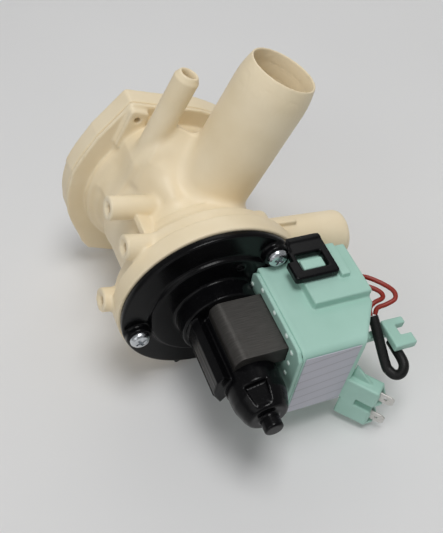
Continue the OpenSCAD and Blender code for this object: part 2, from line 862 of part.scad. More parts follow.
module drive_dog() {
    color(white) in_motor() difference() {
        union() {
            rod(dog_y, shaft_y1, dog_r);
            prism(claw_y0, claw_y1) sector(claw_r, 90, claw_span);
        }
        rod(dog_y - 1, shaft_y1 + 1, shaft_r);
    }
}

// Hollow in the impeller's hub where the claw swings between the stop's two sides
module cavity_outline() {
    difference() {
        circle(r = cavity_r);
        difference() {
            sector(2 * cavity_r, 270, stop_span);
            circle(r = dog_r + free_clear);
        }
    }
}

module impeller() {
    color(black) in_motor() difference() {
        union() {
            rod(impeller_y0, impeller_y1, impeller_hub_r);
            rod(impeller_y0, impeller_y0 + back_plate_t, back_plate_r);
            for (k = [0 : vane_count - 1]) rotate([0, 360 * k / vane_count, 0])
                block([impeller_hub_r - 1, impeller_y0 + back_plate_t / 2, -vane_t / 2],
                      [impeller_r, impeller_y1 - vane_drop, vane_t / 2]);
        }
        rod(impeller_y0 - 1, impeller_y0 + cap_t, cap_r);
        prism(impeller_y0, cavity_y1) cavity_outline();
        rod(impeller_y0, impeller_y1 + 1, dog_r + run_clear);
    }
}

module impeller_cap() {
    color(grey) in_motor() tube(impeller_y0, impeller_y0 + cap_t, cap_r, dog_r + free_clear);
}

// Outline of the core: two poles round the rotor, two legs and the yoke
module core_outline() {
    half = core_h / 2;
    inner = half - pole_round_r;
    reach = pole_reach - pole_round_r;
    core_x1 = yoke_x + yoke_w;
    difference() {
        union() {
            translate([-pole_reach, -inner]) square([core_x1 + pole_reach, 2 * inner]);
            translate([-reach, -half]) square([core_x1 + reach, core_h]);
            for (side = [-1, 1]) translate([-reach, side * inner]) circle(r = pole_round_r);
        }
        circle(r = core_bore_r);
        translate([-pole_reach - 1, -leg_z]) square([yoke_x + pole_reach + 1, 2 * leg_z]);
    }
}

module stator_core() {
    color(core_grey) in_motor() prism(stack_y0, stack_y1) core_outline();
}

// Box round one leg of the core, grown by a margin, from x0 to x1 and out to a height over the axis
module leg_box(side, x0, x1, margin, top) {
    low = side > 0 ? leg_z - margin : -top;
    high = side > 0 ? top : -leg_z + margin;
    block([x0, stack_y0 - margin, low], [x1, stack_y1 + margin, high]);
}

module bobbin() {
    color(mint) in_motor() difference() {
        union() {
            block([bobbin_x, case_y0, -case_top], [spool_x, case_y1, case_top]);
            for (side = [-1, 1]) {
                leg_box(side, bobbin_x, rear_flange_x + bobbin_t, spool_out, spool_top);
                leg_box(side, rear_flange_x, rear_flange_x + bobbin_t, winding_out, flange_top);
            }
        }
        for (side = [-1, 1])
            leg_box(side, bobbin_x - 1, rear_flange_x + bobbin_t + 1, spool_in, core_h / 2 + spool_in);
    }
}

// Room for the upper cover screw at the coil's corner
module screw_notch() {
    round_axis(screw_place_r, upper_screw_angle)
        rod(-screw_boss_h - screw_head_h - 1, 1, screw_boss_r + free_clear);
}

// Copper wound on one spool
module winding(side) {
    color(copper) in_motor() difference() {
        leg_box(side, spool_x + winding_gap, rear_flange_x - winding_gap, winding_out - winding_slack,
                winding_top);
        leg_box(side, spool_x - 1, rear_flange_x + 1, spool_out + winding_gap,
                spool_top + winding_gap);
    }
}

module winding_upper() {
    winding(1);
}

module winding_lower() {
    winding(-1);
}

// Places a piece at a terminal, x running out along the blade
module at_terminal(z) {
    translate([terminal_x, terminal_y, z]) rotate([0, 0, -terminal_swing]) children();
}

// Body of the coil case with its slanted corner, drawn in by an inset
module case_solid(inset) {
    cut = case_cut - 0.6 * inset;
    x1 = case_x1 - inset;
    y0 = case_y0 + inset;
    y1 = case_y1 - inset;
    translate([0, 0, -case_top + inset]) linear_extrude(case_h - 2 * inset)
        polygon([[spool_x, y0], [x1 - cut, y0], [x1, y0 + cut], [x1, y1], [spool_x, y1]]);
}

module coil_case() {
    color(mint) in_motor() difference() {
        union() {
            case_solid(0);
            block([latch_x + block_setback, block_y0, case_top - 1], [case_x1, case_y1, block_top]);
            block([window_x + hook_side, window_y + free_clear, block_top - 1],
                  [window_x + window_w - hook_side, window_y + free_clear + hook_len,
                   latch_top - hook_drop]);
            block([guide_x, block_y0 + guide_step, block_top - 1],
                  [guide_x + guide_t, case_y1, block_top + guide_h]);
            for (z = terminal_z) at_terminal(z)
                translate([-shroud_root, -shroud_w / 2, -shroud_h / 2])
                    cube([shroud_len + shroud_root, shroud_w, shroud_h]);
            at_terminal(block_low) translate([-shroud_root, -shroud_w / 2, 0])
                cube([shroud_root + shroud_floor, shroud_w, terminal_z[1] - block_low]);
            block([case_x1 - 1, clip_y1 - clip_arm, clip_foot_z],
                  [clip_x + 1, clip_y1, clip_foot_z + clip_foot_h]);
            block([clip_x, clip_y1 - clip_arm, clip_foot_z], [clip_x + clip_web, clip_y1, clip_z1]);
            block([clip_x, clip_y0, clip_z0], [clip_x + clip_w, clip_y1, clip_z1]);
        }
        translate([-eps, 0, 0]) case_solid(case_wall);
        for (z = terminal_z) at_terminal(z) {
            translate([shroud_floor, -shroud_w / 2 + shroud_wall, -shroud_h / 2 + shroud_wall])
                cube([shroud_len, shroud_w - 2 * shroud_wall, shroud_h - 2 * shroud_wall]);
            translate([shroud_len - blade_in - run_clear, -slot_t / 2, -slot_w / 2])
                cube([blade_in, slot_t, slot_w]);
        }
        for (route = [lead_long_route, lead_short_route])
            translate([case_x1 - case_wall - 1, route[0][1], route[0][2]]) rotate([0, 90, 0])
                cylinder(h = case_wall + 2, r = lead_r + seat_clear);
        block([clip_x + clip_web, clip_y1 - clip_arm - clip_notch, clip_z0 - 1],
              [clip_x + clip_w + 1, clip_y1 - clip_arm, clip_z1 + 1]);
        screw_notch();
    }
}

module spade_terminals() {
    half = blade_w / 2;
    root = shroud_len - blade_in;
    color(zinc) in_motor() for (z = terminal_z) at_terminal(z) difference() {
        translate([0, blade_t / 2, 0]) rotate([90, 0, 0]) linear_extrude(blade_t)
            polygon([[root, -half], [blade_tip - blade_nose[0], -half],
                     [blade_tip, -half + blade_nose[1]], [blade_tip, half - blade_nose[1]],
                     [blade_tip - blade_nose[0], half], [root, half]]);
        translate([blade_tip - blade_hole_step, 0, 0]) rotate([90, 0, 0])
            cylinder(h = 2 * blade_t, r = blade_hole_r, center = true);
    }
}

module rating_label() {
    color(label_grey) in_motor()
        block([label_x, case_y0 - label_t, label_z], [label_x + label_w, case_y0, label_z + label_h]);
}

module lead_long() {
    color(red) in_motor() sweep(lead_long_route, lead_r);
}

module lead_short() {
    color(red) in_motor() sweep(lead_short_route, lead_r);
}

// Places a piece inside the sleeve's straight stretch, z running along it
module along_sleeve() {
    run = sleeve_route[2] - sleeve_route[1];
    translate(sleeve_route[1]) rotate([acos(run[2] / norm(run)), 0, 0]) children();
}

module fuse_sleeve() {
    color(black) in_motor() difference() {
        sweep(sleeve_route, sleeve_r);
        along_sleeve() translate([0, 0, fuse_start - run_clear])
            cylinder(h = fuse_len + 2 * run_clear, r = fuse_r + run_clear);
    }
}

module thermal_fuse() {
    color(steel) in_motor() along_sleeve()
        translate([0, 0, fuse_start]) cylinder(h = fuse_len, r = fuse_r);
}

module filter_plug() {
    color(grey) in_housing() difference() {
        union() {
            rod(plug_y0, plug_y1, plug_r);
            rod(plug_y1, plug_y1 + plug_rim_t, plug_rim_r);
            block([-handle_len / 2, plug_y1, -handle_t / 2], [handle_len / 2, handle_y1, handle_t / 2]);
        }
        tube(seal_y - seal_section_r - free_clear, seal_y + seal_section_r + free_clear,
             plug_r + 1, bore_r - 2 * seal_section_r - 2 * run_clear);
        rod(plug_y0 - 1, plug_y1 - plug_floor, plug_hollow_r);
    }
}

module filter_cage() {
    color(grey) in_housing() {
        tube(plug_y0 - cage_len, plug_y0 - cage_len + cage_ring_t, cage_r + cage_ring_half,
             cage_r - cage_ring_half);
        for (k = [0 : cage_bar_count - 1]) round_axis(cage_r, 360 * k / cage_bar_count)
            rod(plug_y0 - cage_len, plug_y0, cage_bar_r);
    }
}

module filter_seal() {
    color(rubber) in_housing() along_axis(seal_y) rotate_extrude()
        translate([bore_r - seal_section_r - run_clear, 0]) circle(r = seal_section_r);
}

filter_housing();
pump_cover();
cover_seal();
cover_screws();
bearing_carrier();
carrier_seal();
front_bearing();
rear_bearing();
thrust_washers();
rotor_shaft();
rotor_hub();
rotor_magnet();
drive_dog();
impeller();
impeller_cap();
stator_core();
bobbin();
winding_upper();
winding_lower();
coil_case();
spade_terminals();
rating_label();
lead_long();
lead_short();
fuse_sleeve();
thermal_fuse();
filter_plug();
filter_cage();
filter_seal();
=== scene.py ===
"""Looks of a washer drain pump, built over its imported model."""
import logging
import math
from abc import ABC, abstractmethod
from dataclasses import dataclass, field
from enum import Enum
from functools import reduce
from typing import Sequence

import bpy
import numpy as np
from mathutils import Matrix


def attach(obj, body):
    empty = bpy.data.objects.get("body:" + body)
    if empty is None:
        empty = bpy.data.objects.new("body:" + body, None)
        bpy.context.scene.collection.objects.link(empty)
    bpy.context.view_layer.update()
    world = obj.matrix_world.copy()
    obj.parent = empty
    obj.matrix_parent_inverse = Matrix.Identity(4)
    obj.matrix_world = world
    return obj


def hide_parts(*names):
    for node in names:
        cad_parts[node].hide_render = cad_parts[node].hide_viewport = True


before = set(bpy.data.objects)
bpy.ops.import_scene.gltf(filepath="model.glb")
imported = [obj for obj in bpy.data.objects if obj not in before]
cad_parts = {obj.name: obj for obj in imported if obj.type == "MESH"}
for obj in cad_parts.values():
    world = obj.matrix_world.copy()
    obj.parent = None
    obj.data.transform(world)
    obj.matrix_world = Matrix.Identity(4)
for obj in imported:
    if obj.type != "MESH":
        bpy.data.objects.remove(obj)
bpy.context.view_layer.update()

import openvdb
from mathutils import Matrix, Vector

Array = np.ndarray
Grid = Sequence[Array]
Point = tuple[float, float, float]
Flat = tuple[float, float]
Outline = Sequence[Flat]
Colour = tuple[float, float, float]
Ends = tuple[Array, Array]
Mesh = tuple[Array, Array]
Block = tuple[Point, Point, float, float]
Object = bpy.types.Object
Socket = bpy.types.NodeSocket
Material = bpy.types.Material

log = logging.getLogger("drain_pump")

# Metres in a millimetre, and how far the part's front lies before the cover's outer face
MM = 0.001
FRONT_Y = 93.0
EMPTY = 8.0
BAND = 3
# Least length squared of an outline's edge
TINY = 1e-9
# Places of the cover screws in the motor's frame: degrees, and radius in millimetres
SCREW_ANGLES = (49.5, 194.0, 302.0)
SCREW_RING = 38.5
# Body that all but the moving pieces ride on
PUMP = "pump_body"
# Start of the name of each finish made here
FINISH = "finish_"


class Axis(Enum):
    """Axis of a piece's own frame."""

    X = 0
    Y = 1
    Z = 2


class Roll(Enum):
    """Roll about the pump axis of the two frames that the pieces are drawn in, degrees."""

    MOTOR = 8.2
    HOUSING = 30.1

    def place(self, points: Array) -> Array:
        """Moves points from this frame, in millimetres, to the part's frame, in metres."""
        (x, y, z), (c, s) = points.T, polar(1.0, self.value)
        return MM * np.stack([x * c + z * s, y - FRONT_Y, z * c - x * s], axis=1)


def polar(r: float, degrees: float) -> Flat:
    """Point at a radius and an angle."""
    return r * math.cos(math.radians(degrees)), r * math.sin(math.radians(degrees))


def screw_places(roll: Roll) -> list[Flat]:
    """Places of the cover screws in a frame, x and z."""
    return [polar(SCREW_RING, a + (roll.value - Roll.MOTOR.value)) for a in SCREW_ANGLES]


def soft_min(a: Array, b: Array, blend: float) -> Array:
    """Joins two distances with a fillet.

    Args:
        a: First distance.
        b: Second distance.
        blend: Width of the fillet, 0 for a sharp edge.

    Returns:
        The joined distance.
    """
    if blend <= 0:
        return np.minimum(a, b)
    h = np.clip(0.5 + 0.5 * (b - a) / blend, 0, 1)
    return b + (a - b) * h - blend * h * (1 - h)


def between(values: Array, low: float, high: float) -> Array:
    """Distance to the layer between two values, under 0 inside."""
    return np.abs(values - (low + high) / 2) - (high - low) / 2


def corner(rounding: float, *sides: Array) -> Array:
    """Distance to a body within several sides, its edges rounded by a radius."""
    grown = [side + rounding for side in sides]
    return (np.minimum(reduce(np.maximum, grown), 0)
            + np.sqrt(sum(np.maximum(side, 0) ** 2 for side in grown)) - rounding)


def outline_distance(points: Outline, u: Array, v: Array) -> Array:
    """Signed distance to a closed outline.

    Args:
        points: Corners of the outline.
        u: First coordinate.
        v: Second coordinate.

    Returns:
        The distance, under 0 inside.
    """
    best = np.full(np.broadcast(u, v).shape, np.inf, np.float32)
    sign = np.ones(best.shape, np.float32)
    for i, (ax, ay) in enumerate(points):
        bx, by = points[i - 1]
        ex, ey = bx - ax, by - ay
        wx, wy = u - ax, v - ay
        t = np.clip((wx * ex + wy * ey) / max(ex * ex + ey * ey, TINY), 0, 1)
        best = np.minimum(best, (wx - ex * t) ** 2 + (wy - ey * t) ** 2)
        over, under, left = v >= ay, v < by, ex * wy > ey * wx
        flip = (over & under & left) | (~over & ~under & ~left)
        sign = np.where(flip, -sign, sign)
    return sign * np.sqrt(best)


def rectangle(low: Flat, high: Flat) -> list[Flat]:
    """Outline of a rectangle between two corners."""
    return [low, (high[0], low[1]), high, (low[0], high[1])]


def round_corners(points: Outline, radius: float, steps: int = 5,
                  share: float = 0.45) -> list[Flat]:
    """Rounds the corners of an outline.

    Args:
        points: Corners of the outline.
        radius: Radius of each corner.
        steps: Segments of each corner.
        share: Most of an edge that one corner takes.

    Returns:
        The new outline.
    """
    made: list[Flat] = []
    for i, here in enumerate(points):
        p = np.array(here)
        a, b = np.array(points[i - 1]) - p, np.array(points[(i + 1) % len(points)]) - p
        la, lb = np.linalg.norm(a), np.linalg.norm(b)
        a, b = a / la, b / lb
        half = math.acos(float(np.clip(a @ b, -1, 1))) / 2
        reach = min(radius / math.tan(half), share * la, share * lb)
        for k in range(steps + 1):
            t = k / steps
            q = p + a * reach * (1 - t) ** 2 + b * reach * t ** 2
            made.append((float(q[0]), float(q[1])))
    return made


class Shape(ABC):
    """A body described by its distance, in millimetres."""

    @abstractmethod
    def box(self) -> Ends:
        """Lowest and highest corner of the body."""

    @abstractmethod
    def distance(self, at: Grid) -> Array:
        """Distance to the body at the grid's coordinates, under 0 inside."""


@dataclass
class Rod(Shape):
    """Round bar or cone between two points."""

    start: Point
    end: Point
    r: float
    r_end: float | None = None
    rounding: float = 0.0

    def box(self) -> Ends:
        """Lowest and highest corner of the bar."""
        a, b, r = np.array(self.start), np.array(self.end), max(self.r, self.r_end or 0)
        return np.minimum(a, b) - r, np.maximum(a, b) + r

    def distance(self, at: Grid) -> Array:
        """Distance to the bar.

        Args:
            at: The grid's coordinates.

        Returns:
            The distance, under 0 inside.
        """
        a, b = np.array(self.start, float), np.array(self.end, float)
        length = float(np.linalg.norm(b - a))
        u = (b - a) / length
        px, py, pz = (value - start for value, start in zip(at, a))
        t = px * u[0] + py * u[1] + pz * u[2]
        q = np.sqrt(np.maximum(px * px + py * py + pz * pz - t * t, 0))
        grow = (self.r if self.r_end is None else self.r_end) - self.r
        side = (q - self.r - grow * t / length) * length / math.hypot(length, grow)
        return corner(self.rounding, side, between(t, 0.0, length))


@dataclass
class Slab(Shape):
    """Box between two corners."""

    low: Point
    high: Point
    rounding: float = 0.0

    def box(self) -> Ends:
        """Lowest and highest corner of the box."""
        return np.array(self.low, float), np.array(self.high, float)

    def distance(self, at: Grid) -> Array:
        """Distance to the box, under 0 inside."""
        return corner(self.rounding, *map(between, at, self.low, self.high))


@dataclass
class Prism(Shape):
    """Outline drawn out along an axis."""

    outline: Outline
    span: Flat
    axis: Axis = Axis.Y
    rounding: float = 0.0

    def box(self) -> Ends:
        """Lowest and highest corner of the prism."""
        flat = np.array(self.outline, float)
        return tuple(np.insert(end, self.axis.value, along)
                     for end, along in zip((flat.min(0), flat.max(0)), self.span))

    def distance(self, at: Grid) -> Array:
        """Distance to the prism, under 0 inside."""
        side = outline_distance(self.outline, *(at[a.value] for a in Axis if a is not self.axis))
        return corner(self.rounding, side, between(at[self.axis.value], *self.span))


@dataclass
class Turning(Shape):
    """Outline of radius and y, turned about the pump axis."""

    outline: Outline
    rounding: float = 0.0
    pitch: float = 0.1

    def box(self) -> Ends:
        """Lowest and highest corner of the turning."""
        (_, y0), (r, y1) = np.min(self.outline, axis=0), np.max(self.outline, axis=0)
        return np.array([-r, y0, -r]), np.array([r, y1, r])

    def distance(self, at: Grid) -> Array:
        """Distance to the turning, read from a table of radius and y.

        Args:
            at: The grid's coordinates.

        Returns:
            The distance, under 0 inside.
        """
        x, y, z = at
        q = np.sqrt(x * x + z * z)[:, 0, :]
        rings = np.arange(0, float(q.max()) + 2 * self.pitch, self.pitch, dtype=np.float32)
        mirrored = [*self.outline, *((-r, t) for r, t in reversed(self.outline))]
        table = outline_distance(mirrored, rings[:, None], y[0, :, 0][None, :]) - self.rounding
        place = q / self.pitch
        low = np.minimum(place.astype(np.int32), len(rings) - 2)
        share = (place - low)[..., None].astype(np.float32)
        return np.swapaxes(table[low] * (1 - share) + table[low + 1] * share, 1, 2)


@dataclass
class Swung(Shape):
    """A body turned about a point."""

    inner: Shape
    axis: Axis
    degrees: float
    pivot: Point = (0.0, 0.0, 0.0)

    def turn(self) -> Array:
        """Rotation from the body's own frame."""
        return np.array(Matrix.Rotation(math.radians(self.degrees), 3, self.axis.name))

    def box(self) -> Ends:
        """Lowest and highest corner of the turned body."""
        ends = np.stack(np.meshgrid(*np.transpose(self.inner.box())), -1) @ self.turn().T
        return ends.min((0, 1, 2)) + self.pivot, ends.max((0, 1, 2)) + self.pivot

    def distance(self, at: Grid) -> Array:
        """Distance to the turned body, under 0 inside."""
        p = [value - start for value, start in zip(at, self.pivot)]
        return self.inner.distance([sum(v * w for v, w in zip(p, row)) for row in self.turn().T])


@dataclass
class Moulding:
    """A solid that is put together from bodies on a grid between two corners and then skinned."""

    name: str
    low: Point
    high: Point
    step: float
    values: Array = field(init=False)
    axes: list[Array] = field(init=False)

    def __post_init__(self) -> None:
        """Lays out the grid."""
        self.step *= 1
        edge = BAND * self.step
        self.axes = [np.arange(a - edge, b + edge, self.step, dtype=np.float32)
                     for a, b in zip(self.low, self.high)]
        self.values = np.full([len(a) for a in self.axes], EMPTY, np.float32)

    def near(self, shape: Shape, blend: float) -> tuple[tuple[slice, ...], Grid]:
        """Part of the grid near a body.

        Args:
            shape: The body.
            blend: Width of its fillet.

        Returns:
            The slices of the grid, and its coordinates there.
        """
        reach = 2 * blend + 5 * self.step
        cut = tuple(slice(*np.searchsorted(axis, (low - reach, high + reach)))
                    for axis, low, high in zip(self.axes, *shape.box()))
        return cut, np.ix_(*(axis[part] for axis, part in zip(self.axes, cut)))

    def add(self, shape: Shape, blend: float = 0.0) -> None:
        """Adds a body, with a fillet of the given width."""
        cells, at = self.near(shape, blend)
        self.values[cells] = soft_min(self.values[cells], shape.distance(at), blend)

    def cut(self, shape: Shape, blend: float = 0.0) -> None:
        """Cuts a body away, with an edge of the given width."""
        cells, at = self.near(shape, blend)
        self.values[cells] = -soft_min(-self.values[cells], shape.distance(at), blend)

    def add_blocks(self, blocks: Sequence[Block]) -> None:
        """Adds boxes, each given by its corners, rounding and fillet."""
        for low, high, rounding, blend in blocks:
            self.add(Slab(low, high, rounding), blend)

    def hand_over(self, roll: Roll, slot: str, finish: "Finish", node: str,
                  body: str = PUMP) -> None:
        """Makes the piece and mounts it, as mount says."""
        mount(make_piece(self.name, roll, self.skin()), finish, node, body)

    def skin(self) -> Mesh:
        """Skins the solid.

        Returns:
            Points in the drawing frame, and faces of four corners.
        """
        band = BAND * self.step
        grid = openvdb.FloatGrid(band)
        cells = np.ascontiguousarray(np.clip(self.values, -band, band), np.float32)
        grid.copyFromArray(cells, tolerance=0.0)
        points, _, quads = grid.convertToPolygons(0.0, 0.0)
        return points * self.step + np.array([a[0] for a in self.axes]), quads[:, ::-1]


def make_piece(name: str, roll: Roll, *meshes: Mesh) -> Object:
    """Makes one smooth piece from one or more meshes.

    Args:
        name: Name of the piece.
        roll: Frame that the meshes are drawn in.
        meshes: Points and faces of each.

    Returns:
        The new piece.
    """
    starts = np.cumsum([0] + [len(points) for points, _ in meshes])
    points = roll.place(np.concatenate([points for points, _ in meshes]))
    faces = np.concatenate([faces + start for (_, faces), start in zip(meshes, starts)])
    mesh = bpy.data.meshes.new(name)
    mesh.vertices.add(len(points))
    mesh.vertices.foreach_set("co", np.ascontiguousarray(points, np.float32).ravel())
    mesh.loops.add(faces.size)
    mesh.loops.foreach_set("vertex_index", np.ascontiguousarray(faces, np.int32).ravel())
    mesh.polygons.add(len(faces))
    first = np.arange(0, faces.size, faces.shape[1], dtype=np.int32)
    mesh.polygons.foreach_set("loop_start", first)
    mesh.polygons.foreach_set("use_smooth", np.full(len(faces), True))
    mesh.update(calc_edges=True)
    mesh.validate()
    piece = bpy.data.objects.new(name, mesh)
    bpy.context.scene.collection.objects.link(piece)
    return piece


class Tree:
    """A material's node tree, with short ways to add nodes."""

    def __init__(self, name: str) -> None:
        """Starts a material with one shader.

        Args:
            name: Name of the material.
        """
        self.material = bpy.data.materials.new(name)
        self.material.use_nodes = True
        self.nodes = self.material.node_tree.nodes
        self.shader = self.nodes["Principled BSDF"]
        self.place = self.nodes.new("ShaderNodeTexCoord").outputs["Object"]

    def feed(self, node: bpy.types.Node, **values: object) -> None:
        """Sets or links inputs of a node.

        Args:
            node: The node.
            values: Value or socket of each input, with _ for each blank in its name.
        """
        for key, value in values.items():
            socket = node.inputs[key.replace("_", " ")]
            if isinstance(value, Socket):
                self.material.node_tree.links.new(value, socket)
            else:
                socket.default_value = value

    def add(self, kind: str, output: str, **values: object) -> Socket:
        """Adds a node.

        Args:
            kind: Its kind, without the start that all kinds share.
            output: Name of the output that is wanted.
            values: Its inputs, as for feed.

        Returns:
            The output.
        """
        node = self.nodes.new("ShaderNode" + kind)
        self.feed(node, **values)
        return node.outputs[output]


@dataclass(frozen=True)
class Noise:
    """Noise, by its grains per metre, its finer layers and its stretch."""

    scale: float
    detail: float = 3.0
    stretch: Point = (1.0, 1.0, 1.0)

    def lay(self, t: Tree) -> Socket:
        """Height of the noise in a node tree."""
        at = t.add("Mapping", "Vector", Scale=self.stretch, Vector=t.place)
        return t.add("TexNoise", "Fac", Scale=self.scale, Detail=self.detail, Vector=at)


@dataclass(frozen=True)
class Lines:
    """Fine lines, by their count per metre, the axis they repeat along and their wobble."""

    per_metre: float
    axis: Axis
    wobble: float = 0.0

    def lay(self, t: Tree) -> Socket:
        """Lays the lines out.

        Args:
            t: The node tree.

        Returns:
            The lines' height.
        """
        lines = t.add("TexWave", "Fac", Scale=self.per_metre * math.pi / 10,
                      Distortion=self.wobble, Vector=t.place)
        lines.node.bands_direction = self.axis.name
        return lines


Pattern = Noise | Lines


@dataclass(frozen=True)
class Finish:
    """Colours over one pattern, roughness over another, and relief.

    A layer of the relief is a pattern, its strength and its depth in metres.
    """

    name: str
    colours: tuple[tuple[float, Colour], ...]
    clouds: Pattern
    rough: Flat
    smears: Pattern | None = None
    relief: tuple[tuple[Pattern, float, float], ...] = ()
    metallic: float = 0.0
    specular: float = 0.5

    def make(self) -> Material:
        """Makes the material.

        Returns:
            The new material.
        """
        t = Tree(FINISH + self.name)
        colour = t.add("ValToRGB", "Color", Fac=self.clouds.lay(t))
        stops = colour.node.color_ramp.elements
        while len(stops) < len(self.colours):
            stops.new(0.5)
        for stop, (at, rgb) in zip(stops, self.colours):
            stop.position = at
            stop.color = (*rgb, 1.0)
        rough, high = self.rough
        if self.smears:
            rough = t.add("MapRange", "Result", To_Min=rough, To_Max=high, Value=self.smears.lay(t))
        last: dict[str, Socket] = {}
        for pattern, strength, depth in self.relief:
            last["Normal"] = t.add("Bump", "Normal", Strength=strength, Distance=depth,
                                   Height=pattern.lay(t), **last)
        t.feed(t.shader, Base_Color=colour, Roughness=rough, Metallic=self.metallic,
               Specular_IOR_Level=self.specular, **last)
        return t.material

    def material(self) -> Material:
        """The finish's own material, made once; the CAD's plain materials have other names."""
        return bpy.data.materials.get(FINISH + self.name) or self.make()


def shade(colour: Colour, by: float) -> Colour:
    """A colour made lighter or darker by a factor."""
    return tuple(min(1.0, c * by) for c in colour)


def plastic(name: str, colour: Colour, rough: Flat = (0.42, 0.52), grain: float = 0.12,
            warm: Colour = (1.0, 1.0, 1.0), mottle: float = 0.06) -> Finish:
    """Moulded plastic with a fine grain and faint clouds of colour, tinted where they are dark."""
    dark = tuple(c * w for c, w in zip(shade(colour, 1 - mottle), warm))
    return Finish(name, ((0.32, dark), (0.66, shade(colour, 1 + mottle / 2))), Noise(34.0, 4.0),
                  rough, Noise(260.0), ((Noise(90.0, 2.0), 0.05, 0.0006),
                                        (Noise(2600.0, 2.0), grain, 0.00006)), specular=0.45)


def plated(name: str, colour: Colour, rough: Flat = (0.16, 0.34)) -> Finish:
    """Bright metal with fine streaks, by its name, colour and range of roughness."""
    streaks = Noise(1300.0, 4.0, (1.0, 0.25, 1.0))
    return Finish(name, ((0.3, shade(colour, 0.78)), (0.7, colour)), streaks, rough, Noise(600.0),
                  ((streaks, 0.10, 0.00005),), metallic=1.0)


CREAM = plastic("cream_plastic", (0.87, 0.755, 0.55), (0.40, 0.52), 0.10, (1.0, 0.97, 0.90))
MINT = plastic("mint_plastic", (0.40, 0.635, 0.55), (0.40, 0.5), 0.08, (0.97, 1.0, 0.98))
PIP = plastic("pale_pips", (0.72, 0.86, 0.80), (0.40, 0.5), 0.05, (0.98, 1.0, 0.99))
RED = plastic("red_insulation", (0.30, 0.024, 0.012), (0.34, 0.46), 0.06, (1.0, 0.9, 0.9))
WHITE = plastic("white_plastic", (0.78, 0.78, 0.74), warm=(1.0, 0.99, 0.96))
GREY = plastic("grey_plastic", (0.30, 0.31, 0.32), (0.38, 0.5))
FERRITE = plastic("ferrite", (0.05, 0.05, 0.055), (0.5, 0.65))
RUBBER = plastic("black_rubber", (0.018, 0.018, 0.019), (0.55, 0.7), 0.2)
ZINC = plated("bright_zinc", (0.70, 0.73, 0.76))
TIN = plated("tinned_brass", (0.74, 0.72, 0.69), (0.28, 0.42))
STEEL = plated("ground_steel", (0.56, 0.57, 0.59))
COPPER = plated("enamelled_copper", (0.55, 0.22, 0.09), (0.3, 0.45))
BRONZE = plated("sintered_bronze", (0.50, 0.36, 0.18), (0.4, 0.55))
# Glossy black plastic with faint scuffs and dust
BLACK = Finish("gloss_black_plastic",
               ((0.55, (0.0025, 0.0025, 0.003)), (0.82, (0.008, 0.008, 0.009))),
               Noise(900.0, 6.0), (0.14, 0.3), Noise(120.0, 5.0),
               ((Noise(70.0, 2.0), 0.10, 0.0008), (Noise(1700.0, 2.0), 0.07, 0.00008)),
               specular=0.16)
# Stack of dark steel sheets, 2000 to the metre along the pump axis
IRON = (0.085, 0.081, 0.076)
STREAKS = Noise(2600.0, 4.0, (0.05, 1.0, 0.05))
CORE = Finish("core_laminations", ((0.35, shade(IRON, 0.7)), (0.62, IRON), (0.8, shade(IRON, 1.4))),
              STREAKS, (0.38, 0.62), STREAKS,
              ((Lines(2000.0, Axis.Y, 0.15), 0.55, 0.00012), (Noise(1500.0), 0.12, 0.00006)),
              metallic=0.75)
# Coated woven sleeve
SOOT = (0.005, 0.005, 0.005)
THREADS = Noise(2400.0, 2.0, (1.0, 0.5, 1.0))
SLEEVE = Finish("woven_sleeve", ((0.4, SOOT), (0.75, shade(SOOT, 3.2))), THREADS, (0.36, 0.6),
                THREADS, ((THREADS, 0.35, 0.0001),), specular=0.25)
# Pale film of the label, blank but for its ruled lines
FILM = (0.50, 0.50, 0.565)
LABEL = Finish("label_film", ((0.0, shade(FILM, 0.72)), (0.035, FILM), (1.0, shade(FILM, 1.03))),
               Lines(150.0, Axis.Z), (0.3, 0.45), Noise(300.0),
               ((Noise(160.0, 2.0), 0.06, 0.0004),))
# Studio floor
PALE = (0.80, 0.80, 0.80)
FLOOR = Finish("pale_floor", ((0.3, shade(PALE, 0.98)), (0.7, PALE)), Noise(8.0, 2.0), (0.9, 0.9),
               specular=0.1)


def dress(piece: Object, finish: Finish) -> None:
    """Gives a piece one finish all over."""
    piece.data.materials.clear()
    piece.data.materials.append(finish.material())


def mount(piece: Object, finish: Finish, node: str, body: str = PUMP) -> None:
    """Dresses a piece and puts it on its body.

    Args:
        piece: The piece.
        finish: Its finish.
        node: Node that it stands for.
        body: Body that it rides on.
    """
    dress(piece, finish)
    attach(piece, body)
    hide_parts(node)
    log.info("%s on %s, %d faces", piece.name, body, len(piece.data.polygons))


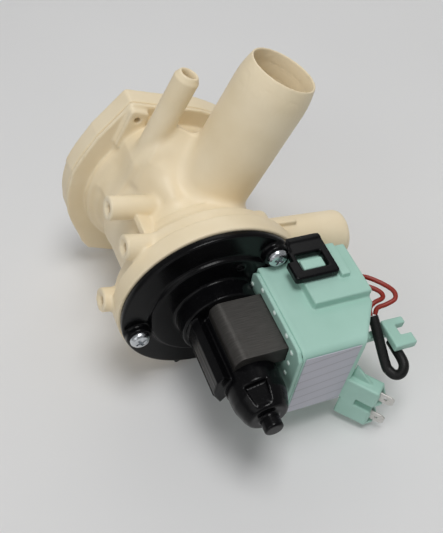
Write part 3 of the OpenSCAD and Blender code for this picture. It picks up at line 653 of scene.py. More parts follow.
@dataclass
class Shield(Shape):
    """Front shield's outline between two places on the pump axis.

    The toe is given in shares of the bottom.
    """

    y0: float
    y1: float
    inset: float = 0.0
    r: float = 49.0
    top: float = 46.0
    crown: float = 3.0
    top_w: float = 75.5
    slant: Flat = (8.0, 21.0)
    bottom: float = 49.5
    toe: Outline = ((-0.83, -0.5), (-0.53, -0.92), (-0.43, -1.0), (0.0, -1.0), (0.0, -0.5))
    table: float = 45.7
    soft: float = 2.0
    fillet: float = 3.0
    rounding: float = 0.5
    reach: float = 50.0

    def box(self) -> Ends:
        """Lowest and highest corner of the shield."""
        r = self.reach
        return np.array([-r, self.y0, -r]), np.array([r, self.y1, r])

    def distance(self, at: Grid) -> Array:
        """Distance to the shield.

        Args:
            at: The grid's coordinates.

        Returns:
            The distance, under 0 inside.
        """
        x, y, z = at
        s = self.inset + self.soft
        half, top, low = self.top_w / 2 - s, self.top - s, self.bottom - s
        wide, r, waist = half + self.slant[0], self.r - s, top - self.slant[1]
        upper = [(-half, top), (0, top + self.crown), (half, top), (wide, waist), (r, 0), (-r, 0),
                 (-wide, waist)]
        side = np.sqrt(x * x + z * z) - self.r + s
        for outline in (upper, [(u * low, v * low) for u, v in self.toe]):
            side = soft_min(side, outline_distance(outline, x, z), self.fillet)
        up, across = polar(1.0, Roll.HOUSING.value)
        floor = x * across - z * up - self.table + self.inset
        side = -soft_min(self.soft - side, -floor, self.soft)
        return corner(self.rounding, side, between(y, self.y0, self.y1))


@dataclass
class Housing(Moulding):
    """Cream moulding: flange, volute, filter chamber, pipes, bosses and shield.

    A side boss is given by its end, its length and the depth of its hole.
    """

    name: str = "cream_housing"
    step: float = 0.6
    low: Point = (-50.5, 3.0, -50.5)
    high: Point = (75.0, FRONT_Y, 100.5)
    flange: tuple[Flat, Flat] = ((0, 3.3), (45.7, 11.7))
    ridge: Outline = ((0, 12), (42.9, 12), (42.5, 19.4), (41.9, 20.0), (38.2, 22.6), (36.2, 25.6),
                      (35, 30), (0, 30))
    volute_r: float = 33.9
    body_r: float = 35.0
    shoulder_r: float = 40.0
    bore_r: float = 32.0
    eye_r: float = 14.0
    plate: Flat = (80.0, 82.2)
    neck: Flat = (81.0, 84.0)
    skirt: Flat = (83.2, FRONT_Y)
    hollow: Flat = (83.0, FRONT_Y + 8)
    collar_y: float = 85.0
    inlet: Flat = (1.6, 46.6)
    inlet_r: float = 17.8
    inlet_lip: float = 15.8
    inlet_bore: float = 13.6
    inlet_mouth: float = 15.0
    inlet_top: float = 99.6
    lip_pitch: float = 1.35
    lip_rings: int = 10
    stub: Flat = (-28.0, 65.0)
    stub_r: float = 6.0
    stub_bore: float = 3.2
    stub_top: float = 77.0
    stop_h: float = 51.0
    cheek: Flat = (-22.0, 27.0)
    cheek_r: float = 11.6
    flank: Outline = ((0, 0), (-34.5, 0), (-33.6, 27), (-22, 38.5), (0, 34.6))
    outlet_y: float = 15.6
    outlet_rise: float = 17.0
    outlet_offset: float = 17.4
    outlet_len: float = 70.0
    outlet_r: float = 12.0
    outlet_bore: float = 9.4
    bosses: tuple[tuple[Point, float, float], ...] = (
        ((-49.0, 17.2, 14.0), 36.0, 16.0), ((-49.0, 41.7, 14.0), 36.0, 16.0),
        ((-47.0, 15.0, -18.5), 16.0, 8.0))
    boss_r: float = 5.7
    boss_rise: float = 10.0
    boss_web: Block = ((-37.0, 17.2, 13.6), (-10.0, 41.7, 17.0), 0.4, 1.0)
    low_web: Outline = ((-43, 8), (-30, 8), (-30, -6), (-38, -6))
    panel_hole: Flat = (33.0, 40.0)
    pad: tuple[Flat, Flat] = ((-4.9, -17.0), (4.9, 4.8))
    pad_span: Flat = (76.2, 82.0)

    def along_outlet(self, s: float) -> Point:
        """A point of the outlet's axis."""
        (across, up), off = polar(1.0, self.outlet_rise), self.outlet_offset
        return s * across - off * up, self.outlet_y, s * up + off * across

    def along_boss(self, end: Point, s: float) -> Point:
        """A point of a side boss, from its end inwards."""
        across, up = polar(1.0, self.boss_rise)
        return end[0] + s * across, end[1], end[2] + s * up

    def body(self) -> None:
        """Adds the volute, the filter chamber, the flange and the shield's plate."""
        self.add(Turning(self.ridge))
        self.add(Rod((0, 20, 0), (0, 62, 0), self.volute_r, self.body_r), 1.5)
        self.add(Rod((0, 60, 0), (0, self.plate[0] + 2, 0), self.body_r), 2.0)
        self.add(Rod((0, 76, 0), (0, 83, 0), self.shoulder_r, rounding=2.4), 5.0)
        self.add(Turning(rectangle(*self.flange), rounding=0.3), 0.3)
        self.add(Shield(*self.plate), 1.2)

    def cheeks(self) -> None:
        """Adds the body's fuller side under the slim pipe, and the ramp to the inlet pipe."""
        x, z = self.cheek
        self.add(Rod((x, 38, z), (x, 60, z), 1.0, self.cheek_r), 8.0)
        self.add(Rod((x, 59, z), (x, 81, z), self.cheek_r), 5.0)
        self.add(Prism(self.flank, (60.0, 81.0), Axis.Y, 0.4), 5.0)
        run = (self.inlet[0] - self.stub[0], self.inlet[1] - self.stub[1])
        ramp = [(1.2, 20.0), (1.2, self.stop_h), (-0.8, self.stop_h), (-9.5, 33.0), (-9.5, 20.0)]
        fin = Prism(ramp, (3.0, math.hypot(*run)), Axis.X, 0.3)
        way = math.degrees(math.atan2(run[1], run[0]))
        self.add(Swung(fin, Axis.Z, way, (*self.stub, 0.0)), 6.0)

    def pipes(self) -> None:
        """Adds the inlet with its drawn-in lip, the slim pipe, and the outlet with its rib."""
        x, y = self.inlet
        top, drop = self.inlet_top, self.inlet_r - self.inlet_lip
        self.add(Rod((x, y, 20), (x, y, top - 13), self.inlet_r), 4.6)
        lip = [(top - self.lip_pitch * k, self.inlet_r - drop * (1 - k / self.lip_rings) ** 2)
               for k in range(self.lip_rings + 1)]
        for (high, r_end), (low, r) in zip(lip, lip[1:]):
            self.add(Rod((x, y, low - 0.1), (x, y, high), r, r_end))
        x, y = self.stub
        top, r = self.stub_top, self.stub_r
        self.add(Rod((x, y, 8), (x, y, top - 3), r), 2.2)
        self.add(Rod((x, y, top - 3.1), (x, y, top), r, r - 1.4, 0.7), 1.0)
        end, r = self.outlet_len, self.outlet_r
        self.add(Rod(self.along_outlet(0), self.along_outlet(end - 2), r), 2.0)
        self.add(Rod(self.along_outlet(end - 2.1), self.along_outlet(end), r, r - 0.8, 0.4), 0.4)
        rib = Slab((27.0, self.outlet_y - 1, 20.0),
                   (42.0, self.outlet_y + 1, self.outlet_offset + r + 2.5), 0.4)
        self.add(Swung(rib, Axis.Y, -self.outlet_rise), 0.8)

    def fixings(self) -> None:
        """Adds the side bosses, the screw bosses and the pads of the panel holes."""
        for end, length, _ in self.bosses:
            self.add(Rod(end, self.along_boss(end, length), self.boss_r, rounding=0.5), 1.8)
        self.add_blocks([self.boss_web])
        self.add(Prism(self.low_web, (11.0, 14.5), Axis.Y, 0.5), 1.0)
        for x, z in screw_places(Roll.HOUSING):
            self.add(Rod((x, 8, z), (x, 21, z), 5.0, rounding=1.0), 2.0)
        hx, hz = self.panel_hole
        for x in (-hx, hx):
            pad = round_corners(rectangle(*((x + u, hz + v) for u, v in self.pad)), 2.2)
            self.add(Prism(pad, self.pad_span, Axis.Y, 0.7), 1.6)

    def shield(self) -> None:
        """Adds the shield's neck and skirt, and the collar of the filter's mouth."""
        self.add(Rod((0, 83, 0), (0, self.collar_y, 0), self.body_r, rounding=0.5), 1.0)
        self.add(Shield(*self.neck, inset=1.6))
        self.add(Shield(*self.skirt, inset=0.4))
        self.cut(Shield(*self.hollow, inset=2.5), 1.2)
        self.add(Rod((0, 82, 0), (0, self.collar_y, 0), self.body_r, rounding=0.5), 1.5)

    def hollows(self) -> None:
        """Cuts the hollows and the holes."""
        self.cut(Rod((0, 0, 0), (0, 23, 0), self.bore_r), 0.6)
        self.cut(Rod((0, 20, 0), (0, 30, 0), self.eye_r), 1.0)
        self.cut(Rod((0, 26.5, 0), (0, 88, 0), self.bore_r), 0.5)
        (x, y), top, r = self.inlet, self.inlet_top, self.inlet_bore
        self.cut(Rod((x, y, 0), (x, y, top + 3), r), 0.6)
        self.cut(Rod((x, y, top - 13), (x, y, top + 0.4), r - 0.1, self.inlet_mouth), 0.5)
        (x, y), top, r = self.stub, self.stub_top, self.stub_bore
        self.cut(Rod((x, y, 0), (x, y, top + 3), r), 0.4)
        self.cut(Rod((x, y, top - 2), (x, y, top + 0.4), r - 0.1, r + 0.7), 0.3)
        end = self.along_outlet(self.outlet_len + 3)
        self.cut(Rod(self.along_outlet(0), end, self.outlet_bore), 0.6)
        for end, _, depth in self.bosses:
            self.cut(Rod(self.along_boss(end, -2), self.along_boss(end, depth), 2.0), 0.3)
            self.cut(Rod(self.along_boss(end, -1), self.along_boss(end, 0.7), 3.1), 0.3)
        for x, z in screw_places(Roll.HOUSING):
            self.cut(Rod((x, 2, z), (x, 19.5, z), 2.05))
        hx, hz = self.panel_hole
        for x in (-hx, hx):
            self.cut(Rod((x, 70, hz), (x, 90, hz), 1.5), 0.4)

    def build(self) -> None:
        """Builds the moulding and puts it on the pump's body."""
        for work in (self.body, self.cheeks, self.pipes, self.fixings, self.shield, self.hollows):
            work()
        self.hand_over(Roll.HOUSING, "cream_plastic", CREAM, "filter_housing")


@dataclass
class Cover(Moulding):
    """Black moulding: disc, pad, hub, rotor can, cradle and latch arm.

    The tooth at the rim is given by radius and angle.
    """

    name: str = "black_cover"
    step: float = 0.5
    low: Point = (-48.5, -71.0, -49.0)
    high: Point = (53.5, 7.2, 46.0)
    disc_r: float = 45.0
    disc_t: float = 3.0
    rim: Outline = ((44.2, -0.5), (44.6, -0.5), (44.6, 1), (42.6, 1), (42.6, -0.5))
    tooth: Outline = ((44.0, 247.0), (44.0, 257.0), (47.8, 253.0), (47.8, 251.6))
    pad_r: float = 32.0
    hub_r: float = 20.0
    hub_gap: Flat = (14.4, 0.0)
    hub_arc: tuple[int, int, int] = (44, 317, 4)
    spigot_r: float = 31.8
    spigot_bore: float = 28.6
    spigot_sides: int = 96
    can: Outline = ((0, 0), (12.3, 0), (12.3, -52.4), (12.0, -55.8), (10.1, -61.5), (9.0, -63.4),
                    (8.2, -63.9), (0, -63.9))
    can_bore: float = 11.0
    tail_r: float = 4.4
    tail_bore: float = 4.85
    panel: Outline = ((-4.9, -52.4), (4.9, -52.4), (3.2, -62.4), (-3.2, -62.4))
    panel_turn: float = -17.0
    cradle: Outline = ((-17.5, -2.0), (-17.1, 6.0), (-14.6, 9.6), (-10.4, 6.4), (-10.4, -6.4),
                       (-13.4, -11.2), (-16.8, -5.0))
    cradle_ribs: Point = (-5.0, -1.2, 2.6)
    boss_r: float = 6.0
    boss_h: float = 4.2
    ring: Flat = (8.2, 25.5)
    latch: tuple[Point, Point] = ((27.0, -20.5, 27.65), (49.0, 3.0, 31.55))
    window: tuple[Point, Point] = ((32.1, -16.0, 26.0), (45.1, -7.0, 33.0))

    def disc(self) -> None:
        """Adds the disc with its rim, the pad and the hub."""
        self.add(Rod((0, 0, 0), (0, self.disc_t, 0), self.disc_r, rounding=0.5))
        self.add(Turning(self.rim, rounding=0.3), 0.6)
        self.add(Rod((0, -3, 0), (0, 1, 0), self.pad_r, rounding=0.8), 1.6)
        hub = [self.hub_gap, *(polar(self.hub_r, a) for a in range(*self.hub_arc))]
        self.add(Prism(hub, (-13.0, -2.0), Axis.Y, 0.7), 1.4)

    def rotor_can(self) -> None:
        """Adds the rotor can with its stepped end, the cradle beside it and the spigot."""
        self.add(Turning(self.can, rounding=0.3), 1.2)
        self.add(Rod((0, -62, 0), (0, -70.6, 0), self.tail_r, rounding=0.9), 1.0)
        flat = Prism(self.panel, (9.4, 16.0), Axis.Z, 0.6)
        self.cut(Swung(flat, Axis.Y, self.panel_turn), 1.2)
        self.add(Prism(self.cradle, (-45.7, -10.0), Axis.Y, 0.6), 0.8)
        for z in self.cradle_ribs:
            self.add(Rod((-17.0, -45.0, z), (-17.0, -11.0, z), 0.45))
        n = self.spigot_sides
        spigot = [polar(self.spigot_r, 360 * k / n) for k in range(n)]
        self.add(Prism(spigot, (2.0, 7.0), Axis.Y, 0.4))

    def fixings(self) -> None:
        """Adds the latch arm, the screw bosses, the tooth and the small ring."""
        (x0, y0, z0), (x1, y1, z1) = self.latch
        arm = round_corners(rectangle((x0, y0), (x1, y1)), 2.2)
        self.add(Prism(arm, (z0, z1), Axis.Z, 0.5), 0.3)
        self.add(Slab((x0, 0.0, 0.0), (x1, y1, z1), 0.5), 0.6)
        for x, z in screw_places(Roll.MOTOR):
            self.add(Rod((x, 1.0, z), (x, -self.boss_h, z), self.boss_r, rounding=0.7), 1.4)
        self.add(Prism([polar(r, a) for r, a in self.tooth], (0.1, 3.0), Axis.Y, 0.4), 0.6)
        x, z = self.ring
        self.add(Rod((x, -3.6, z), (x, -2.0, z), 2.3, rounding=0.4), 0.4)
        self.cut(Rod((x, -5.0, z), (x, -2.2, z), 1.4), 0.3)

    def hollows(self) -> None:
        """Cuts the latch's window, the can's bore and the screw holes."""
        self.cut(Slab(*self.window, 0.5), 0.5)
        for y, r in ((-50.5, self.can_bore), (-57, self.tail_bore), (3.2, self.spigot_bore)):
            self.cut(Rod((0, y, 0), (0, 9, 0), r))
        for x, z in screw_places(Roll.MOTOR):
            self.cut(Rod((x, -9, z), (x, 9, z), 2.2))
            self.cut(Rod((x, -10.2, z), (x, -self.boss_h, z), 5.2))

    def build(self) -> None:
        """Builds the moulding and puts it on the pump's body."""
        for work in (self.disc, self.rotor_can, self.fixings, self.hollows):
            work()
        self.hand_over(Roll.MOTOR, "black_plastic", BLACK, "pump_cover")


@dataclass
class Screws:
    """Plated screws of the cover, with a rounded head and a cross recess."""

    step: float = 0.16
    low: Point = (-5.2, -3.2, -5.2)
    high: Point = (5.2, 19.6, 5.2)
    dome: Outline = ((0, -2.7), (2.6, -2.62), (3.7, -2.2), (4.35, -1.5), (4.6, -0.5), (4.6, -0.2),
                     (0, -0.2))
    shank: Flat = (2.0, 19.2)
    slot: tuple[Point, Point] = ((-0.55, -4.0, -2.5), (0.55, -1.2, 2.5))
    seat: float = -Cover.boss_h
    turns: Point = (24.0, 61.0, 10.0)

    def one(self, degrees: float) -> Mesh:
        """One screw, head outwards, with its seat at y 0.

        Args:
            degrees: Turn of its recess.

        Returns:
            Points and faces.
        """
        m = Moulding("screw", self.low, self.high, self.step)
        m.add(Turning(self.dome, rounding=0.2, pitch=0.05))
        r, length = self.shank
        m.add(Rod((0, -0.5, 0), (0, length, 0), r, rounding=0.3), 0.3)
        for turn in (0.0, 90.0):
            m.cut(Swung(Slab(*self.slot, 0.1), Axis.Y, degrees + turn), 0.15)
        m.cut(Rod((0, -3.5, 0), (0, -0.6, 0), 1.3, 0.6), 0.15)
        return m.skin()

    def build(self) -> None:
        """Builds the screws and puts them on the pump's body."""
        meshes = []
        for (x, z), degrees in zip(screw_places(Roll.MOTOR), self.turns):
            points, faces = self.one(degrees)
            meshes.append((points + np.array([x, self.seat, z]), faces))
        piece = make_piece("cover_screw_set", Roll.MOTOR, *meshes)
        mount(piece, ZINC, "cover_screws")


@dataclass
class Case(Moulding):
    """Mint coil case with its raised block, snap hook, terminal shrouds and wire clip."""

    name: str = "mint_coil_case"
    step: float = 0.45
    low: Point = (16.8, -64.0, -36.0)
    high: Point = (78.0, -2.6, 31.6)
    x0: float = 17.0
    x1: float = 60.5
    y0: float = -53.7
    y1: float = -3.1
    half_h: float = 22.85
    slant: Flat = (13.0, 19.0)
    inner_slant: Flat = (14.0, 20.5)
    case_wall: float = 1.8
    edge_r: float = 4.0
    edge_steps: int = 8
    blocks: tuple[Block, ...] = (
        ((31.6, -31.9, 20.85), (60.5, -3.1, 27.25), 0.7, 0.8),
        ((33.1, -15.6, 26.25), (44.1, -10.0, 30.9), 0.5, 0.4),
        ((33.1, -11.6, 26.25), (44.1, -9.6, 29.6), 0.4, 0.3),
        ((49.4, -21.9, 26.25), (54.0, -3.1, 29.85), 0.6, 0.5))
    clip: tuple[Block, ...] = (
        ((59.0, -42.4, 0.0), (67.4, -38.6, 4.0), 0.4, 0.6),
        ((66.4, -42.4, 0.0), (72.0, -38.6, 10.4), 0.5, 0.5),
        ((66.4, -53.8, 6.2), (77.6, -38.6, 10.4), 0.6, 0.4))
    clip_gap: tuple[Point, Point] = ((72.0, -48.0, 4.0), (80.0, -42.4, 12.0))
    lead_exits: tuple[Flat, Flat] = ((-17.0, 19.0), (-22.0, 18.0))
    terminal: Flat = (51.0, -53.7)
    swing: float = -49.0
    blades_z: Flat = (-29.0, -13.0)
    shroud: Point = (15.5, 8.0, 11.5)
    root: float = 3.2
    wall: float = 1.5
    rib: Outline = ((-2.0, 0.0), (9.0, 0.0), (-2.0, 9.0))

    def at_terminal(self, z: float, shape: Shape) -> Shape:
        """A body of the terminal block, x running out along the blade."""
        return Swung(shape, Axis.Z, self.swing, (*self.terminal, z))

    def plan(self, x0: float, slant: Flat, wall: float) -> list[Flat]:
        """Outline of the case from above, from its open side, slanted corner and wall."""
        x1, y0, y1 = self.x1 - wall, self.y0 + wall, self.y1 - wall
        return [(x0, y0), (self.x1 - slant[0], y0), (x1, self.y0 + slant[1]), (x1, y1), (x0, y1)]

    def round_edge(self) -> None:
        """Rounds the long edge at the case's top."""
        r, n = self.edge_r, self.edge_steps
        y, z, past = self.y0 + r, self.half_h - r, r + 3
        arc = [(y + u, z + v) for u, v in (polar(r, 90 + 90 * k / n) for k in range(n + 1))]
        off = [(y - past, z + past), (y, z + past), *arc, (y - past, z)]
        self.cut(Prism(off, (10.0, 64.0), Axis.X))

    def terminals(self) -> None:
        """Adds the terminal block with its two shrouds."""
        length, w, h = self.shroud[0], self.shroud[1] / 2, self.shroud[2] / 2
        z0, z1 = self.blades_z
        for z in self.blades_z:
            self.add(self.at_terminal(z, Slab((-self.root, -w, -h), (length, w, h), 0.7)), 0.5)
        base = Slab((-self.root, -w, 0), (4, w, z1 - z0 + h), 0.6)
        self.add(self.at_terminal(z0 - h, base), 0.5)
        self.add(self.at_terminal(z1 + h - 1, Prism(self.rib, (-0.8, 0.8), Axis.Y, 0.3)), 0.5)
        side, top = w - self.wall, h - self.wall
        hollow = Slab((4.0, -side, -top), (length + 6, side, top), 0.4)
        mouth = [(length - 3.6, h + 1), (length + 2, h + 1), (length + 2, -h - 1)]
        for z in self.blades_z:
            self.cut(self.at_terminal(z, hollow), 0.3)
            self.cut(self.at_terminal(z, Prism(mouth, (-2 * w, 2 * w), Axis.Y)), 0.3)
            self.cut(self.at_terminal(z, Slab((3.4, -0.45, -3.2), (length, 0.45, 3.2))))

    def build(self) -> None:
        """Builds the case and puts it on the pump's body."""
        h, wall = self.half_h, self.case_wall
        self.add(Prism(self.plan(self.x0, self.slant, 0.0), (-h, h), Axis.Z, 1.4))
        self.add(Slab((self.x0, self.y0 + 0.4, -h), (self.x0 + 3, self.y1, h), 0.4), 0.3)
        self.add_blocks(self.blocks)
        self.round_edge()
        self.terminals()
        self.add_blocks(self.clip)
        self.cut(Slab(*self.clip_gap, 0.5), 0.4)
        hollow = self.plan(self.x0 - 1, self.inner_slant, wall)
        self.cut(Prism(hollow, (wall - h, h - wall), Axis.Z, 0.5))
        for y, z in self.lead_exits:
            self.cut(Rod((57.0, y, z), (63.0, y, z), 1.3))
        x, z = screw_places(Roll.MOTOR)[0]
        self.cut(Rod((x, -8.0, z), (x, 2.0, z), 6.4), 0.5)
        self.hand_over(Roll.MOTOR, "mint_plastic", MINT, "coil_case")


@dataclass
class Bobbin(Moulding):
    """Mint bobbin: face with small pale pips, and two spools."""

    name: str = "mint_bobbin"
    step: float = 0.4
    low: Point = (14.2, -54.0, -23.2)
    high: Point = (44.6, -2.8, 23.2)
    face: Flat = (15.0, 17.0)
    cuts: Flat = (3.6, 3.2)
    legs: tuple[Flat, Flat] = ((-16.85, -7.25), (7.25, 16.85))
    pip_top: float = 14.4
    pip_edge: float = 14.9
    pips: Outline = ((-5.7, 15.1), (-14.5, 21.0), (-27.5, 21.0), (-40.2, 21.0), (-46.9, 17.6),
                     (-47.2, 10.4), (-47.2, 2.8), (-47.2, -6.0), (-46.9, -15.0), (-5.7, -15.1))

    def build(self) -> None:
        """Builds the bobbin and puts it on the pump's body."""
        y0, y1, h, (a, b) = Case.y0, Case.y1, Case.half_h, self.cuts
        face = [(y0, -h), (y1, -h), (y1, h - b), (y1 - b, h), (y0 + a, h), (y0, h - a)]
        self.add(Prism(round_corners(face, 2.2), self.face, Axis.X, 0.35))
        for z0, z1 in self.legs:
            self.add(Slab((15.5, -44.95, z0 - 1.2), (44.0, -11.85, z1 + 1.2), 0.2))
            self.add(Slab((42.0, -47.2, z0 - 3.6), (44.0, -9.6, z1 + 3.6), 0.2))
        for y, z in self.pips:
            self.add(Rod((15.6, y, z), (self.pip_top, y, z), 1.1, 1.0, 0.3), 0.2)
        for z0, z1 in self.legs:
            self.cut(Slab((10.0, -43.95, z0 - 0.2), (50.0, -12.85, z1 + 0.2)), 0.3)
        points, faces = self.skin()
        piece = make_piece(self.name, Roll.MOTOR, (points, faces))
        mount(piece, MINT, "bobbin")
        piece.data.materials.append(PIP.material())
        raised = points[faces, 0].mean(1) < self.pip_edge
        piece.data.polygons.foreach_set("material_index", raised.astype(np.int32))


@dataclass
class Blades(Moulding):
    """Two spade blades with drawn-in tips: one is moulded lying, and set into both shrouds."""

    name: str = "spade_blades"
    step: float = 0.14
    low: Point = (3.2, -0.7, -3.4)
    high: Point = (20.2, 0.7, 3.4)
    start: float = 3.5
    tip: float = 20.0
    half_w: float = 3.15
    tip_cut: Flat = (1.6, 1.3)
    hole: Flat = (16.0, 0.8)

    def build(self) -> None:
        """Builds the blades and puts them on the pump's body."""
        tip, w, (back, side), (at, r) = self.tip, self.half_w, self.tip_cut, self.hole
        half = [(self.start, w), (tip - back, w), (tip, w - side)]
        plan = [(u, -v) for u, v in half] + half[::-1]
        self.add(Prism(plan, (-0.4, 0.4), Axis.Y, 0.18))
        self.cut(Rod((at, -2, 0), (at, 2, 0), r), 0.12)
        points, faces = self.skin()
        (x, y, z), (c, s), (x0, y0) = points.T, polar(1.0, Case.swing), Case.terminal
        flat = [x * c - y * s + x0, x * s + y * c + y0]
        both = [(np.stack([*flat, z + height], axis=1), faces) for height in Case.blades_z]
        mount(make_piece(self.name, Roll.MOTOR, *both), TIN, "spade_terminals")


@dataclass
class Leads:
    """Red leads and the black sleeve at the coil's end."""

    lead_r: float = 1.1
    sleeve_r: float = 2.4
    sides: int = 20
    per_stretch: int = 10
    end_r: float = 0.82
    end_rise: float = 0.12
    first_side: Point = (0.6, 0.1, -0.8)
    long_route: tuple[Point, ...] = (
        (60.0, -17, 19), (62.6, -17.4, 19.2), (66.5, -20.5, 20.3), (71.5, -26, 20.5),
        (75, -30.4, 19.4), (74.6, -33.4, 17.6), (70.5, -34, 15.8), (66.4, -33.6, 13.8),
        (64.7, -35.4, 11.8))
    short_route: tuple[Point, ...] = (
        (60.0, -22, 18), (62.6, -22.4, 18.2), (66, -25.4, 19), (69.2, -29, 18.6), (69.4, -31, 17),
        (66, -31, 15), (63, -32.4, 13.6), (62.2, -35.4, 11.8))
    sleeve_route: tuple[Point, ...] = (
        (63.4, -36, 11.4), (63.4, -40, 9), (63.4, -54.5, -0.2), (64, -58, -1.6),
        (65.6, -60.8, -1.6), (67.8, -61.6, 0), (69.4, -60, 2), (70, -57, 3), (70, -52, 3.2),
        (70, -46, 3.2))

    def smooth(self, route: Sequence[Point]) -> Array:
        """Draws a smooth line through the points of a route.

        Args:
            route: Points of the route.

        Returns:
            Points of the line.
        """
        p = np.array([route[0], *route, route[-1]], float)
        t = (np.arange(self.per_stretch) / self.per_stretch)[:, None]
        a, b, c, d = (p[i:len(p) - 3 + i, None] for i in range(4))
        line = 0.5 * (2 * b + (c - a) * t + (2 * a - 5 * b + 4 * c - d) * t ** 2
                      + (3 * b - a - 3 * c + d) * t ** 3)
        return np.concatenate([line.reshape(-1, 3), p[-1:]])

    def tube(self, route: Sequence[Point], r: float) -> Mesh:
        """Draws a round tube with softened ends along a route.

        Args:
            route: Points of the route.
            r: Radius of the tube.

        Returns:
            Points and faces.
        """
        line = self.smooth(route)
        along = np.gradient(line, axis=0)
        along /= np.linalg.norm(along, axis=1)[:, None]
        side = np.cross(along[0], self.first_side)
        n = self.sides
        turn = (np.arange(n) * 2 * math.pi / n)[:, None]
        rings = []
        for centre, way in zip(line, along):
            side = side - way * (side @ way)
            side /= np.linalg.norm(side)
            other = np.cross(way, side)
            rings.append(centre + r * (np.cos(turn) * side + np.sin(turn) * other))
        first, last = (line[i] + self.end_r * (rings[i] - line[i]) for i in (0, -1))
        rise = self.end_rise * r
        rings = [first - along[0] * rise, *rings, last + along[-1] * rise]
        faces = [(i * n + k, i * n + (k + 1) % n, (i + 1) * n + (k + 1) % n, (i + 1) * n + k)
                 for i in range(len(rings) - 1) for k in range(n)]
        top = (len(rings) - 1) * n
        for k in range(1, n // 2):
            cap = (k - 1, k, n - k - 1, n - k)
            faces += [cap, tuple(top + i for i in reversed(cap))]
        return np.concatenate(rings), np.array(faces)

    def build(self) -> None:
        """Builds the leads and the sleeve and puts them on the pump's body."""
        red, black = (self.lead_r, "red_insulation", RED), (self.sleeve_r, "black_sleeve", SLEEVE)
        for name, node, route, (r, slot, finish) in (
                ("red_lead_long", "lead_long", self.long_route, red),
                ("red_lead_short", "lead_short", self.short_route, red),
                ("black_fuse_sleeve", "fuse_sleeve", self.sleeve_route, black)):
            mount(make_piece(name, Roll.MOTOR, self.tube(route, r)), finish, node)


@dataclass
class Filter(Moulding):
    """Grey filter plug with its rim, its grip and the notches round the rim."""

    name: str = "grey_filter_plug"
    step: float = 0.5
    low: Point = (-35.0, 71.0, -35.0)
    high: Point = (35.0, 92.6, 35.0)
    y0: float = 71.0
    y1: float = 85.4
    rim_r: float = 34.5
    rim_t: float = 2.2
    plug_r: float = 31.6
    hollow_r: float = 21.2
    groove: tuple[Flat, Flat] = ((28.7, 74), (34, 78))
    grip: Flat = (23.0, 3.5)
    grip_y: float = 92.5
    notches: int = 36
    notch_ring: float = 34.9
    notch_r: float = 0.8

    def build(self) -> None:
        """Builds the plug and puts it on the filter's body."""
        y0, y1 = self.y0, self.y1
        self.add(Rod((0, y0, 0), (0, y1 + 1, 0), self.plug_r, rounding=0.5))
        self.add(Rod((0, y1, 0), (0, y1 + self.rim_t, 0), self.rim_r, rounding=0.7))
        length, thick = self.grip
        bar = round_corners(rectangle((-length, -thick), (length, thick)), 3.0)
        self.add(Prism(bar, (y1, self.grip_y), Axis.Y, 0.9), 1.6)
        self.cut(Turning(rectangle(*self.groove)), 0.2)
        self.cut(Rod((0, y0 - 3, 0), (0, y1 - 2, 0), self.hollow_r), 0.5)
        for k in range(self.notches):
            x, z = polar(self.notch_ring, 360 * k / self.notches)
            self.cut(Rod((x, y1 - 1, z), (x, y1 + 4, z), self.notch_r), 0.3)
        self.hand_over(Roll.HOUSING, "grey_plastic", GREY, "filter_plug", "filter_plug")


@dataclass
class Carried:
    """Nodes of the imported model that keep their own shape."""

    finishes: dict[str, Finish] = field(default_factory=lambda: {
        "cover_seal": RUBBER, "bearing_carrier": GREY, "carrier_seal": RUBBER,
        "front_bearing": BRONZE, "rear_bearing": BRONZE, "thrust_washers": WHITE,
        "rotor_shaft": STEEL, "rotor_hub": WHITE, "rotor_magnet": FERRITE, "drive_dog": WHITE,
        "impeller": BLACK, "impeller_cap": GREY, "stator_core": CORE, "winding_upper": COPPER,
        "winding_lower": COPPER, "rating_label": LABEL, "thermal_fuse": ZINC, "filter_cage": GREY,
        "filter_seal": RUBBER})
    edged: tuple[str, ...] = ("stator_core", "impeller")
    edge: float = 0.0003

    def build(self) -> None:
        """Dresses each node, and softens the edges of the large ones."""
        for name, finish in self.finishes.items():
            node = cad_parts[name]
            dress(node, finish)
            if name in self.edged:
                bevel = node.modifiers.new("edges", "BEVEL")
                bevel.width = self.edge
                bevel.segments = 2
                bevel.limit_method = "ANGLE"
            log.info("%s keeps its shape", name)


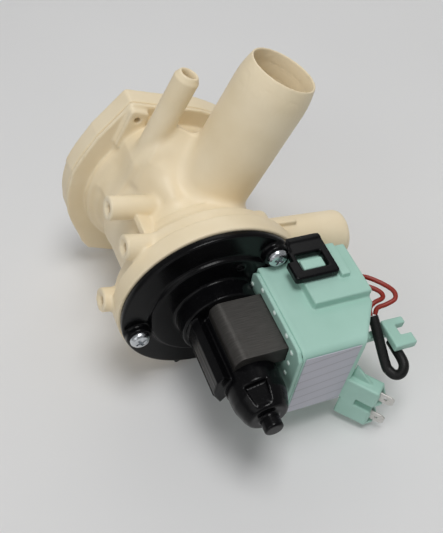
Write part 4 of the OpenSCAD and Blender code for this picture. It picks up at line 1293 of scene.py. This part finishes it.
@dataclass
class Studio:
    """Pale floor, soft light and the camera.

    A lamp is given by its name, place, side and power.
    """

    floor_z: float = -0.0462
    floor_size: float = 8.0
    centre: Point = (-0.0747, -0.2924, 0.3041)
    ahead: Point = (0.2232, 0.567, -0.7929)
    right: Point = (0.9304, -0.366, -0.0007)
    lens: float = 53.41
    sensor: float = 36.0
    even_light: float = 0.25
    aim: Point = (0.01, -0.08, 0.01)
    lamps: tuple[tuple[str, Point, float, float], ...] = (
        ("key", (0.10, -0.15, 1.05), 0.45, 5.4), ("fill", (-0.70, -0.55, 0.6), 0.8, 1.9),
        ("back", (0.5, 0.8, 0.8), 0.7, 1.6))

    def ground(self) -> None:
        """Lays the floor."""
        bpy.ops.mesh.primitive_plane_add(size=self.floor_size, location=(0, 0, self.floor_z))
        plane = bpy.context.object
        plane.name = "studio_floor"
        dress(plane, FLOOR)

    def hang(self) -> None:
        """Hangs the soft lamps, which point at the part."""
        for name, at, size, power in self.lamps:
            light = bpy.data.lights.new(name, "AREA")
            light.size = size
            light.energy = power
            lamp = bpy.data.objects.new(name, light)
            lamp.location = at
            aim = Vector(self.aim) - Vector(at)
            lamp.rotation_euler = aim.to_track_quat("-Z", "Y").to_euler()
            bpy.context.scene.collection.objects.link(lamp)

    def sky(self) -> None:
        """Sets the even light all round."""
        world = bpy.data.worlds.new("studio")
        world.use_nodes = True
        back = world.node_tree.nodes["Background"]
        back.inputs["Color"].default_value = (1.0, 1.0, 1.0, 1.0)
        back.inputs["Strength"].default_value = self.even_light
        bpy.context.scene.world = world

    def eye(self) -> None:
        """Sets the camera where the photograph was taken from."""
        data = bpy.data.cameras.new("eye")
        data.lens = self.lens
        data.sensor_width = self.sensor
        eye = bpy.data.objects.new("eye", data)
        ahead = Vector(self.ahead).normalized()
        right = Vector(self.right)
        right = (right - ahead * right.dot(ahead)).normalized()
        turn = Matrix((right, right.cross(ahead), -ahead)).transposed()
        eye.matrix_world = Matrix.Translation(self.centre) @ turn.to_4x4()
        bpy.context.scene.collection.objects.link(eye)
        bpy.context.scene.camera = eye

    def build(self) -> None:
        """Sets up the camera, the floor and the light."""
        for work in (self.eye, self.ground, self.sky, self.hang):
            work()
        bpy.context.scene.view_settings.view_transform = "Standard"


def main() -> None:
    """Builds the scene's classes in order."""
    logging.basicConfig(level=logging.INFO, format="%(name)s: %(message)s")
    for maker in (Studio, Housing, Cover, Screws, Case, Bobbin, Blades, Leads, Filter, Carried):
        maker().build()


if __name__ == "__main__":
    main()
